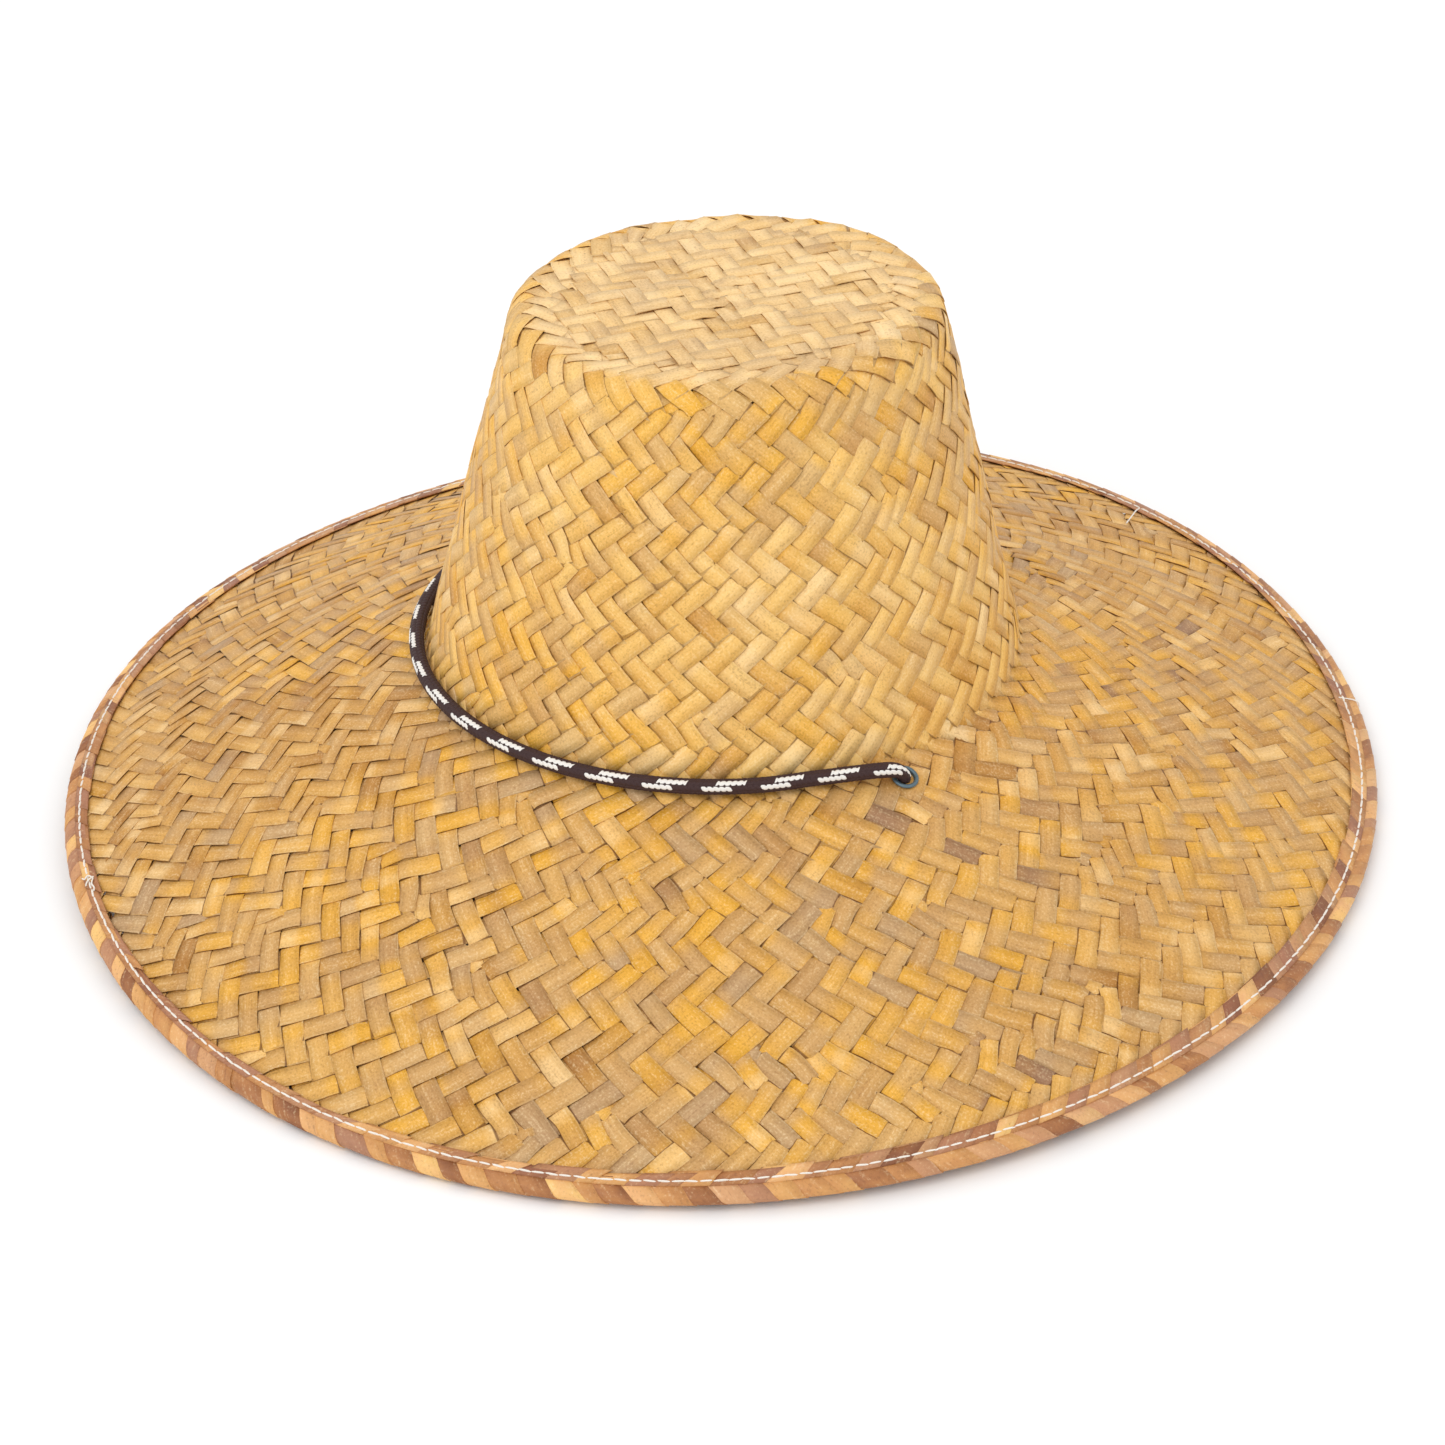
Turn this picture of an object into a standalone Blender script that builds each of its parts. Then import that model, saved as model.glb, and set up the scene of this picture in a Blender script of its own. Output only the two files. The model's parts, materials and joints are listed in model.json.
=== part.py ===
"""Wide-brimmed plaited palm sun hat with a chin cord, as an assembly of solids.

The hat stands on its rim: +Z is up, the origin is on the table under the middle of
the brim, the front of the hat faces -Y and the two cord eyelets are on +X and -X.
"""

import math

import bmesh
import bpy
from mathutils import Matrix, Vector

MM = 0.001

# Hat body: outer surface of the plaited wall, before it is made oval and leans
FOOT_RADIUS = 98.5 * MM          # half the crown's length where it meets the brim
FOOT_HEIGHT = 48.0 * MM          # that corner above the rim
TIP_RADIUS = 67.2 * MM           # corner of the crown's side and its flat tip
TIP_HEIGHT = 167.8 * MM
BRIM_RADIUS = 214.9 * MM         # outermost edge, over the binding
WALL = 1.5 * MM                  # thickness of the plait
SHOULDER_RADIUS = 9.0 * MM
CORNER_RADIUS = 3.0 * MM         # hollow corner between the crown and the brim
GAP = 0.3 * MM                   # clearance between touching pieces

# How the soft plait has settled: the crown leans back, the rim waves
LEAN = math.radians(2.2)         # the crown leans back
FOOT_TILT = math.radians(4.4)    # its foot is higher in front
TIP_TILT = math.radians(1.9)
OVAL = 0.08                      # how much narrower than long the crown is
SHIFT_BACK = 4.7 * MM
RIM_WAVES = (                    # lobes round the rim, height, angle of a crest
    (2, 1.7 * MM, math.radians(69.0)),
    (3, 1.9 * MM, math.radians(-5.0)),
)

# Binding folded over the edge, and its two threads
BINDING_WIDTH = 9.5 * MM
BINDING_LEAF = 1.1 * MM          # thickness of the binding on each side of the brim
BINDING_FOLD = 2.2 * MM          # length of the rounded fold beyond the brim's edge
STITCH_INSET = 3.7 * MM          # thread line outside the binding's inner edge
THREAD_RADIUS = 0.4 * MM

# Eyelets
EYELET_RADIUS = 104.9 * MM       # distance from the hat's axis
EYELET_BACK = math.radians(2.5)  # both eyelets sit a little behind the middle
EYELET_BORE = 2.95 * MM
EYELET_BARREL = 3.4 * MM
EYELET_FLANGE = 4.35 * MM
EYELET_RIM = 0.9 * MM            # how far the rolled flange stands over the brim
WASHER_THICKNESS = 0.5 * MM
WASHER_OUTER = 4.6 * MM

# Cord, slider and knot
CORD_RADIUS = 2.5 * MM
CORD_PINCH = 0.86                # the braid narrows inside the metal eyelets
CORD_STEP = 13.0 * MM
EYELET_TURN = 6.0 * MM           # radius of the cord's turn down into an eyelet
RUN_OFFSET = 2.9 * MM            # the two parallel runs lie this far from x = 0
RUN_HEIGHT = 5.6 * MM
SLIDER_LENGTH = 16.0 * MM
SLIDER_WIDTH = 18.0 * MM
SLIDER_HEIGHT = 11.0 * MM
SLIDER_REST_Y = -34.0 * MM
KNOT_CENTRE_Y = -50.6 * MM
KNOT_SIZE = (8.4 * MM, 6.0 * MM, 5.5 * MM)

TIP_SHARE = 0.3                  # the crown's tip takes this much of the shoulder
SPLIT_HEIGHT = 9.0 * MM          # crown_side starts this far over the foot
SEGMENTS = 72                    # steps round the hat
SMALL_SEGMENTS = 20              # steps round an eyelet
CURVE_STEPS = 24                 # fine steps between two points of the cord's route

SIDE_SLOPE = math.atan2(FOOT_RADIUS - TIP_RADIUS, TIP_HEIGHT - FOOT_HEIGHT)
BRIM_SLOPE = math.atan2(FOOT_HEIGHT, BRIM_RADIUS - FOOT_RADIUS)

# Chin loop from the right eyelet to the straight runs, lying on the table under the hat
RIGHT_LOOP = (
    (91.6, 9.6, 33.0), (89.9, 14.0, 20.5), (88.9, 22.0, 9.2), (87.2, 34.0, 3.7),
    (83.2, 48.5, 2.9), (75.6, 63.5, 2.8), (64.2, 77.5, 2.8), (48.6, 87.6, 2.8),
    (31.0, 89.5, 3.0), (14.5, 81.5, 3.7), (5.6, 68.0, 5.0), (3.0, 56.0, 5.6),
)
LEFT_LOOP = (
    (-91.8, 9.2, 33.0), (-90.3, 12.6, 20.5), (-88.4, 20.0, 9.4), (-85.0, 31.5, 3.8),
    (-79.0, 45.0, 2.9), (-70.0, 57.5, 2.8), (-57.6, 68.5, 2.8), (-43.0, 75.4, 2.8),
    (-27.5, 76.5, 3.1), (-13.5, 70.5, 4.0), (-5.4, 61.5, 5.2), (-2.95, 53.0, 5.6),
)


# ---------------------------------------------------------------- shape of the hat

def crown_offset(point):
    """Movement of a point of the round crown to the oval, tilted and leaning one."""
    above = point.z - FOOT_HEIGHT
    share = above / (TIP_HEIGHT - FOOT_HEIGHT)
    tilt = FOOT_TILT + (TIP_TILT - FOOT_TILT) * share
    back = above * math.sin(LEAN) + SHIFT_BACK
    return Vector((-OVAL * point.x, back, -point.y * math.sin(tilt)))


def rim_wave(angle):
    return sum(height * math.cos(lobes * (angle - crest)) for lobes, height, crest in RIM_WAVES)


def settle(point):
    """Takes a point of the round, upright hat to its place on the settled hat."""
    radius = math.hypot(point.x, point.y)
    if radius <= FOOT_RADIUS:
        return point + crown_offset(point)
    out = (radius - FOOT_RADIUS) / (BRIM_RADIUS - FOOT_RADIUS)
    inner = FOOT_RADIUS / radius
    held = Vector((point.x * inner, point.y * inner, point.z))
    wave = Vector((0.0, 0.0, rim_wave(math.atan2(point.y, point.x))))
    return point + crown_offset(held) * (1.0 - out) + wave * out


def side_point(height, depth):
    """Radius and height on the crown's side, a depth inside its outer surface."""
    along = (height - FOOT_HEIGHT) / (TIP_HEIGHT - FOOT_HEIGHT)
    radius = FOOT_RADIUS + (TIP_RADIUS - FOOT_RADIUS) * along
    return radius - depth / math.cos(SIDE_SLOPE), height


def brim_point(out, lift):
    """Radius and height at a distance out from the rim's edge, down the brim's slope."""
    cos_s, sin_s = math.cos(BRIM_SLOPE), math.sin(BRIM_SLOPE)
    return BRIM_RADIUS + out * cos_s + lift * sin_s, -out * sin_s + lift * cos_s


def arc(centre, radius, start, end, steps):
    """Points of an arc in the section plane; angles in radians from +R."""
    points = []
    for i in range(steps + 1):
        angle = start + (end - start) * i / steps
        points.append((centre[0] + radius * math.cos(angle),
                       centre[1] + radius * math.sin(angle)))
    return points


def shoulder(depth, start_share, end_share, steps):
    """Part of the rounded shoulder, from its upper end (0) to its lower end (1)."""
    turn = math.pi / 2 - SIDE_SLOPE
    tangent = SHOULDER_RADIUS * math.tan(turn / 2)
    centre = (TIP_RADIUS - tangent, TIP_HEIGHT - SHOULDER_RADIUS)
    first = math.pi / 2 - turn * start_share
    last = math.pi / 2 - turn * end_share
    return arc(centre, SHOULDER_RADIUS - depth, first, last, steps)


def hollow_corner(depth, steps):
    """The rounded inside corner from the crown's side out to the brim's slope."""
    turn = math.pi / 2 - SIDE_SLOPE - BRIM_SLOPE
    tangent = CORNER_RADIUS * math.tan(turn / 2)
    radius, height = side_point(FOOT_HEIGHT + tangent * math.cos(SIDE_SLOPE), 0.0)
    centre = (radius + CORNER_RADIUS * math.cos(SIDE_SLOPE),
              height + CORNER_RADIUS * math.sin(SIDE_SLOPE))
    first = math.pi + SIDE_SLOPE
    return arc(centre, CORNER_RADIUS + depth, first, first + turn, steps)


def rim_drop():
    """Lowest point of the binding, from which the whole hat is lifted to the table."""
    lowest = 0.0
    for radius, height in binding_section():
        for i in range(SEGMENTS):
            angle = 2.0 * math.pi * i / SEGMENTS
            point = Vector((radius * math.cos(angle), radius * math.sin(angle), height))
            lowest = min(lowest, settle(point).z)
    return -lowest


# ---------------------------------------------------------------- Blender helpers

def clear_scene():
    for old in list(bpy.data.objects):
        bpy.data.objects.remove(old, do_unlink=True)


def make_material(name, colour, roughness, metallic=0.0):
    material = bpy.data.materials.new(name)
    material.use_nodes = True
    shader = material.node_tree.nodes["Principled BSDF"]
    shader.inputs["Base Color"].default_value = (*colour, 1.0)
    shader.inputs["Roughness"].default_value = roughness
    shader.inputs["Metallic"].default_value = metallic
    return material


def add_object(name, mesh, material, parent):
    thing = bpy.data.objects.new(name, mesh)
    bpy.context.scene.collection.objects.link(thing)
    mesh.materials.append(material)
    thing.parent = parent
    return thing


def finish_mesh(bm, name):
    """Closes a bmesh into a smooth-shaded mesh whose faces point out."""
    bmesh.ops.remove_doubles(bm, verts=bm.verts, dist=1e-7)
    bmesh.ops.recalc_face_normals(bm, faces=bm.faces)
    mesh = bpy.data.meshes.new(name)
    bm.to_mesh(mesh)
    bm.free()
    mesh.shade_smooth()
    mesh.set_sharp_from_angle(angle=math.radians(40.0))
    return mesh


def turned(section, steps, closed):
    """A bmesh turned about Z from section points of radius and height."""
    bm = bmesh.new()
    verts = [bm.verts.new((radius, 0.0, height)) for radius, height in section]
    edges = [bm.edges.new(pair) for pair in zip(verts, verts[1:])]
    if closed:
        edges.append(bm.edges.new((verts[-1], verts[0])))
    bmesh.ops.spin(bm, geom=verts + edges, axis=(0.0, 0.0, 1.0), cent=(0.0, 0.0, 0.0),
                   steps=steps, angle=2.0 * math.pi, use_merge=True)
    return bm


def hat_piece(name, section, material, parent, lift, closed=True):
    """A ring or disc of the hat, turned round the axis and then settled."""
    bm = turned(section, SEGMENTS, closed)
    bmesh.ops.remove_doubles(bm, verts=bm.verts, dist=1e-7)
    for vert in bm.verts:
        vert.co = settle(vert.co)
        vert.co.z += lift
    return add_object(name, finish_mesh(bm, name), material, parent)


def cut(target, cutter):
    cutter.hide_render = True
    cutter.display_type = 'WIRE'
    boolean = target.modifiers.new("cut_" + cutter.name, 'BOOLEAN')
    boolean.operation = 'DIFFERENCE'
    boolean.solver = 'EXACT'
    boolean.object = cutter


# ---------------------------------------------------------------- plaited body

def tip_section():
    """Flat tip of the crown with the start of its shoulder, closed on the axis."""
    outer = [(0.0, TIP_HEIGHT)] + shoulder(0.0, 0.0, TIP_SHARE, 2)
    inner = shoulder(WALL, TIP_SHARE, 0.0, 2) + [(0.0, TIP_HEIGHT - WALL)]
    return outer + inner


def side_section():
    """Lower shoulder and the tapering side, down to just above the brim's foot."""
    split = TIP_SHARE + GAP / (SHOULDER_RADIUS * (math.pi / 2 - SIDE_SLOPE))
    low = FOOT_HEIGHT + SPLIT_HEIGHT
    middle = (low + TIP_HEIGHT) / 2
    outer = shoulder(0.0, split, 1.0, 3) + [side_point(middle, 0.0), side_point(low, 0.0)]
    inner = [side_point(low, WALL), side_point(middle, WALL)] + shoulder(WALL, 1.0, split, 3)
    return outer + inner


def brim_section():
    """Foot of the crown, the hollow corner and the long slope to the bound edge."""
    top = FOOT_HEIGHT + SPLIT_HEIGHT - GAP
    edge = -(BINDING_FOLD + GAP)
    half = WALL / 2
    long_way = (BRIM_RADIUS - FOOT_RADIUS) / math.cos(BRIM_SLOPE)
    middle = -long_way / 2
    corner_out = hollow_corner(0.0, 3)
    corner_in = hollow_corner(WALL, 3)
    outer = [side_point(top, 0.0)] + corner_out + [brim_point(middle, 0.0)]
    rim = [brim_point(edge, 0.0), brim_point(edge + half * 0.5, -half), brim_point(edge, -WALL)]
    inner = [brim_point(middle, -WALL)] + corner_in[::-1] + [side_point(top, WALL)]
    return outer + rim + inner


def binding_section():
    """U of folded leaf around the brim's edge: outside of the U, then back inside it."""
    centre = -WALL / 2
    reach = WALL / 2 + GAP + BINDING_LEAF
    inside = WALL / 2 + GAP
    fold = []
    for i in range(7):
        angle = math.pi / 2 - math.pi * i / 6
        fold.append((-BINDING_FOLD + BINDING_FOLD * math.cos(angle), reach * math.sin(angle)))
    outer = [(-BINDING_WIDTH, reach)] + fold + [(-BINDING_WIDTH, -reach)]
    inner = [(-BINDING_WIDTH, -inside), (-BINDING_FOLD + GAP, -inside)]
    inner += [(-BINDING_FOLD + GAP, inside), (-BINDING_WIDTH, inside)]
    return [brim_point(out, centre + lift) for out, lift in outer + inner]


def thread_section(side):
    """Thread lying along the binding: side 1 is the top thread, -1 the bobbin thread."""
    out = -BINDING_WIDTH + STITCH_INSET
    lift = -WALL / 2 + side * (WALL / 2 + 2 * GAP + BINDING_LEAF + THREAD_RADIUS)
    centre = brim_point(out, lift)
    return arc(centre, THREAD_RADIUS, 0.0, 2.0 * math.pi, 6)[:-1]


# ---------------------------------------------------------------- eyelets

def eyelet_frame(side, lift):
    """Matrix of an eyelet: origin on the brim's outer surface, Z along its normal."""
    reach = (EYELET_RADIUS - BRIM_RADIUS) / math.cos(BRIM_SLOPE)

    def on_brim(out, turn):
        radius, height = brim_point(reach + out, 0.0)
        angle = (EYELET_BACK if side > 0 else math.pi - EYELET_BACK) + turn
        return settle(Vector((radius * math.cos(angle), radius * math.sin(angle), height)))

    step = 1.0 * MM
    centre = on_brim(0.0, 0.0)
    outward = (on_brim(step, 0.0) - on_brim(-step, 0.0)).normalized()
    around = (on_brim(0.0, 0.01) - on_brim(0.0, -0.01)).normalized()
    normal = outward.cross(around).normalized()
    along = normal.cross(outward)
    turn = Matrix((outward, along, normal)).transposed().to_4x4()
    return Matrix.Translation(centre + Vector((0.0, 0.0, lift))) @ turn


def eyelet_section():
    """Rolled flange, barrel and lower flare of a pressed metal eyelet."""
    below = -(WALL + 2 * GAP + WASHER_THICKNESS)
    return [
        (EYELET_BORE, EYELET_RIM * 0.4), (EYELET_BORE + 0.35 * MM, EYELET_RIM * 0.9),
        (EYELET_BORE + 0.75 * MM, EYELET_RIM), (EYELET_FLANGE - 0.25 * MM, EYELET_RIM * 0.75),
        (EYELET_FLANGE, GAP), (EYELET_BARREL, GAP),
        (EYELET_BARREL, below - GAP), (EYELET_FLANGE - 0.4 * MM, below - GAP),
        (EYELET_FLANGE - 0.5 * MM, below - GAP - 0.5 * MM), (EYELET_BORE, below - GAP - 0.35 * MM),
    ]


def washer_section():
    top = -WALL - GAP
    bottom = top - WASHER_THICKNESS
    bore = EYELET_BARREL + GAP
    return [(bore, top), (WASHER_OUTER, top), (WASHER_OUTER, bottom), (bore, bottom)]


def add_eyelet(word, side, brim, metal, parent, lift):
    frame = eyelet_frame(side, lift)
    for name, section in (("eyelet_", eyelet_section()), ("eyelet_washer_", washer_section())):
        bm = turned(section, SMALL_SEGMENTS, True)
        piece = add_object(name + word, finish_mesh(bm, name + word), metal, parent)
        piece.matrix_world = frame
    bm = bmesh.new()
    bmesh.ops.create_cone(bm, cap_ends=True, segments=SMALL_SEGMENTS, depth=20.0 * MM,
                          radius1=EYELET_BARREL + GAP, radius2=EYELET_BARREL + GAP)
    cutter = add_object("hole_" + word, finish_mesh(bm, "hole_" + word), metal, parent)
    cutter.matrix_world = frame
    cut(brim, cutter)


# ---------------------------------------------------------------- cord

def corner_run(angle, lift):
    """Centre of the cord in the corner of crown and brim, at an angle round the hat."""
    reach = CORD_RADIUS + 2 * GAP
    spread = reach / math.cos(SIDE_SLOPE + BRIM_SLOPE)
    radius = FOOT_RADIUS + spread * (math.cos(BRIM_SLOPE) - math.sin(SIDE_SLOPE))
    height = FOOT_HEIGHT + spread * (math.cos(SIDE_SLOPE) - math.sin(BRIM_SLOPE))
    point = Vector((radius * math.cos(angle), radius * math.sin(angle), height))
    return settle(point) + Vector((0.0, 0.0, lift))


def eyelet_pass(side, lift):
    """Cord centres through one eyelet: a tight turn over the flange, then straight down."""
    frame = eyelet_frame(side, lift)
    path = []
    for degrees, drift in ((0, 1.6), (30, 0.7), (60, 0.15), (90, 0.0)):
        angle = math.radians(degrees)
        back = EYELET_TURN * (math.sin(angle) - 1.0)
        up = EYELET_TURN * math.cos(angle) - WALL
        path.append((-drift * MM, side * back, up))
    path += [(0.0, 0.0, -3.4 * MM), (0.2 * MM, side * 0.4 * MM, -8.0 * MM)]
    return [frame @ Vector(point) for point in path]


def smooth_curve(route):
    """Centripetal Catmull-Rom curve through the route, finely sampled."""
    ends = [route[0] * 2 - route[1]] + route + [route[-1] * 2 - route[-2]]
    fine = []
    for a, b, c, d in zip(ends, ends[1:], ends[2:], ends[3:]):
        t1 = (b - a).length ** 0.5
        t2 = t1 + (c - b).length ** 0.5
        t3 = t2 + (d - c).length ** 0.5
        for i in range(CURVE_STEPS):
            t = t1 + (t2 - t1) * i / CURVE_STEPS
            ab = a * ((t1 - t) / t1) + b * (t / t1)
            bc = b * ((t2 - t) / (t2 - t1)) + c * ((t - t1) / (t2 - t1))
            cd = c * ((t3 - t) / (t3 - t2)) + d * ((t - t2) / (t3 - t2))
            abc = ab * ((t2 - t) / t2) + bc * (t / t2)
            bcd = bc * ((t3 - t) / (t3 - t1)) + cd * ((t - t1) / (t3 - t1))
            fine.append(abc * ((t2 - t) / (t2 - t1)) + bcd * ((t - t1) / (t2 - t1)))
    return fine + [route[-1]]


def cord_route(lift):
    """Route from the knot, up through one eyelet, round the front and back to the knot."""
    end = KNOT_CENTRE_Y + KNOT_SIZE[1] + GAP
    straight = [-20.0, 10.0, 35.0]
    right = [Vector((RUN_OFFSET, end, RUN_HEIGHT))]
    right += [Vector((RUN_OFFSET, y * MM, RUN_HEIGHT)) for y in straight]
    right += [Vector(p) * MM for p in reversed(RIGHT_LOOP)]
    left = [Vector((-RUN_OFFSET, end, RUN_HEIGHT))]
    left += [Vector((-RUN_OFFSET, y * MM, RUN_HEIGHT)) for y in straight]
    left += [Vector(p) * MM for p in reversed(LEFT_LOOP)]
    front = [corner_run(math.radians(-a), lift) for a in range(12, 169, 12)]
    return (right + eyelet_pass(1, lift)[::-1] + front + eyelet_pass(-1, lift) + left[::-1])


def even_points(fine, step, eyes):
    """Points a step apart along a fine curve, closer together where it bends into eyes."""
    points = [fine[0]]
    walked = 0.0
    for a, b in zip(fine, fine[1:]):
        walked += (b - a).length
        near = min((b - eye).length for eye in eyes) < 1.5 * EYELET_TURN
        if walked >= (step * 0.2 if near else step):
            points.append(b)
            walked = 0.0
    points[-1] = fine[-1]
    return points


def add_cord(material, parent, lift):
    eyes = [eyelet_frame(side, lift).translation for side in (1, -1)]
    points = even_points(smooth_curve(cord_route(lift)), CORD_STEP, eyes)
    curve = bpy.data.curves.new("chin_cord", 'CURVE')
    curve.dimensions = '3D'
    curve.bevel_depth = CORD_RADIUS
    curve.bevel_resolution = 2
    curve.use_fill_caps = True
    spline = curve.splines.new('POLY')
    spline.points.add(len(points) - 1)
    for knot, point in zip(spline.points, points):
        knot.co = (*point, 1.0)
        near = min((point - eye).length for eye in eyes)
        knot.radius = CORD_PINCH if near < EYELET_TURN else 1.0
    return add_object("chin_cord", curve, material, parent)


def add_slider(material, parent):
    """Flat wooden bead with one oblong hole for both runs of the cord."""
    bm = bmesh.new()
    half = SLIDER_HEIGHT / 2
    bmesh.ops.create_cone(bm, cap_ends=True, segments=24, radius1=half, radius2=half,
                          depth=SLIDER_LENGTH)
    bmesh.ops.rotate(bm, verts=bm.verts, matrix=Matrix.Rotation(math.pi / 2, 3, 'X'))
    spread = (SLIDER_WIDTH - SLIDER_HEIGHT) / 2
    for vert in bm.verts:
        vert.co.x += math.copysign(spread, vert.co.x) if abs(vert.co.x) > 1e-6 else 0.0
    rims = [e for e in bm.edges if abs(e.verts[0].co.y - e.verts[1].co.y) < 1e-7]
    bmesh.ops.bevel(bm, geom=rims, offset=2.2 * MM, segments=3, profile=0.5,
                    affect='EDGES', material=-1)
    bead = add_object("cord_slider", finish_mesh(bm, "cord_slider"), material, parent)
    bead.location = (0.0, SLIDER_REST_Y, RUN_HEIGHT)

    bm = bmesh.new()
    hole = CORD_RADIUS + GAP
    bmesh.ops.create_cone(bm, cap_ends=True, segments=24, radius1=hole, radius2=hole,
                          depth=SLIDER_LENGTH * 2)
    bmesh.ops.rotate(bm, verts=bm.verts, matrix=Matrix.Rotation(math.pi / 2, 3, 'X'))
    for vert in bm.verts:
        vert.co.x += math.copysign(RUN_OFFSET, vert.co.x) if abs(vert.co.x) > 1e-6 else 0.0
    slot = add_object("slider_slot", finish_mesh(bm, "slider_slot"), material, parent)
    slot.location = bead.location
    cut(bead, slot)


def add_knot(material, parent):
    """Overhand knot that joins the cord's two ends, as a plain rounded lump."""
    bm = bmesh.new()
    bmesh.ops.create_uvsphere(bm, u_segments=16, v_segments=10, radius=1.0)
    bmesh.ops.scale(bm, verts=bm.verts, vec=KNOT_SIZE)
    knot = add_object("cord_knot", finish_mesh(bm, "cord_knot"), material, parent)
    knot.location = (0.0, KNOT_CENTRE_Y, RUN_HEIGHT)


# ---------------------------------------------------------------- assembly

def build():
    clear_scene()
    hat = bpy.data.objects.new("hat", None)
    bpy.context.scene.collection.objects.link(hat)

    palm = make_material("plaited_palm", (0.62, 0.40, 0.13), 0.55)
    folded = make_material("folded_palm", (0.47, 0.25, 0.09), 0.55)
    thread = make_material("white_thread", (0.80, 0.78, 0.74), 0.7)
    metal = make_material("grey_metal", (0.30, 0.37, 0.40), 0.4, 1.0)
    braid = make_material("brown_braid", (0.055, 0.020, 0.020), 0.75)
    wood = make_material("bead_wood", (0.42, 0.24, 0.11), 0.45)

    lift = rim_drop()
    hat_piece("crown_tip", tip_section(), palm, hat, lift, closed=False)
    hat_piece("crown_side", side_section(), palm, hat, lift)
    brim = hat_piece("brim", brim_section(), palm, hat, lift)
    hat_piece("rim_binding", binding_section(), folded, hat, lift)
    hat_piece("rim_thread_top", thread_section(1), thread, hat, lift)
    hat_piece("rim_thread_under", thread_section(-1), thread, hat, lift)
    add_eyelet("right", 1, brim, metal, hat, lift)
    add_eyelet("left", -1, brim, metal, hat, lift)
    add_cord(braid, hat, lift)
    add_slider(wood, hat)
    add_knot(braid, hat)
    bpy.context.view_layer.update()


build()
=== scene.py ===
"""Looks of the plaited palm sun hat: plaited strips, bound rim, stitches, eyelets and cord."""
import json
import math
import random

import bmesh
import bpy
import numpy as np
from mathutils import Matrix, Vector


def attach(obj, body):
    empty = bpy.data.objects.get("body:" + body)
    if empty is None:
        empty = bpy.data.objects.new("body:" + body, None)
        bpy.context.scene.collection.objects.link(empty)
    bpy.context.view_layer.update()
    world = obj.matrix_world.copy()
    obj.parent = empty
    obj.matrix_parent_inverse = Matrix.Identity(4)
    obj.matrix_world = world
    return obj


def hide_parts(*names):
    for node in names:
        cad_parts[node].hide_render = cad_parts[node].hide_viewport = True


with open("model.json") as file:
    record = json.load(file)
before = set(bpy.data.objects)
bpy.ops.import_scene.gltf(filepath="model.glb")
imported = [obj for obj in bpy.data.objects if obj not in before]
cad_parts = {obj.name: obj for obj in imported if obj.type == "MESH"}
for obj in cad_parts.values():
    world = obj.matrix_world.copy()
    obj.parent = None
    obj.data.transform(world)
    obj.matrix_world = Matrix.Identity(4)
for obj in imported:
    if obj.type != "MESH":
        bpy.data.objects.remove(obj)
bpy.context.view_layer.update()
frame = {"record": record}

MM = 0.001
TURN = 2.0 * math.pi
UV_NAME = "UVMap"

# ---- the hat's driving sizes, as in the part's source
FOOT_RADIUS = 98.5 * MM
FOOT_HEIGHT = 48.0 * MM
TIP_RADIUS = 67.2 * MM
TIP_HEIGHT = 167.8 * MM
BRIM_RADIUS = 214.9 * MM
WALL = 1.5 * MM
SHOULDER_RADIUS = 9.0 * MM
CORNER_RADIUS = 3.0 * MM
GAP = 0.3 * MM
LEAN = math.radians(2.2)
FOOT_TILT = math.radians(4.4)
TIP_TILT = math.radians(1.9)
OVAL = 0.08
SHIFT_BACK = 4.7 * MM
RIM_WAVES = (
    (2, 1.7 * MM, math.radians(69.0)),
    (3, 1.9 * MM, math.radians(-5.0)),
)
BINDING_WIDTH = 9.5 * MM
BINDING_LEAF = 1.1 * MM
BINDING_FOLD = 2.2 * MM
STITCH_INSET = 3.7 * MM
EYELET_RADIUS = 104.9 * MM
EYELET_BACK = math.radians(2.5)
EYELET_BORE = 2.95 * MM
EYELET_BARREL = 3.4 * MM
EYELET_FLANGE = 4.35 * MM
EYELET_RIM = 0.9 * MM
EYELET_TURN = 6.0 * MM
WASHER_THICKNESS = 0.5 * MM
WASHER_OUTER = 4.6 * MM
CORD_RADIUS = 2.5 * MM
CORD_PINCH = 0.86
RUN_OFFSET = 2.9 * MM
RUN_HEIGHT = 5.6 * MM
KNOT_CENTRE_Y = -50.6 * MM
KNOT_HALF_Y = 6.0 * MM
WRAP_RADII = (5.2 * MM, 3.35 * MM)   # half width and half height of the knot's wraps
WRAP_SPREAD = 6.6 * MM
WRAP_STEPS = 48
SLIDER_LENGTH = 16.0 * MM
SLIDER_WIDTH = 18.0 * MM
SLIDER_HEIGHT = 11.0 * MM
SLIDER_REST_Y = -34.0 * MM
BEAD_OUTER_EDGE = 2.2 * MM       # radius of the bead's rounded edges, outside and at its hole
BEAD_HOLE_EDGE = 0.9 * MM
BEAD_STEPS = 64

SIDE_SLOPE = math.atan2(FOOT_RADIUS - TIP_RADIUS, TIP_HEIGHT - FOOT_HEIGHT)
BRIM_SLOPE = math.atan2(FOOT_HEIGHT, BRIM_RADIUS - FOOT_RADIUS)
MOUNTS = {mount["name"]: mount for mount in frame["record"]["mounts"]}
LIFT = MOUNTS["crown_top"]["pos_m"][2] - TIP_HEIGHT   # stands the rim's lowest point on z = 0

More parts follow.
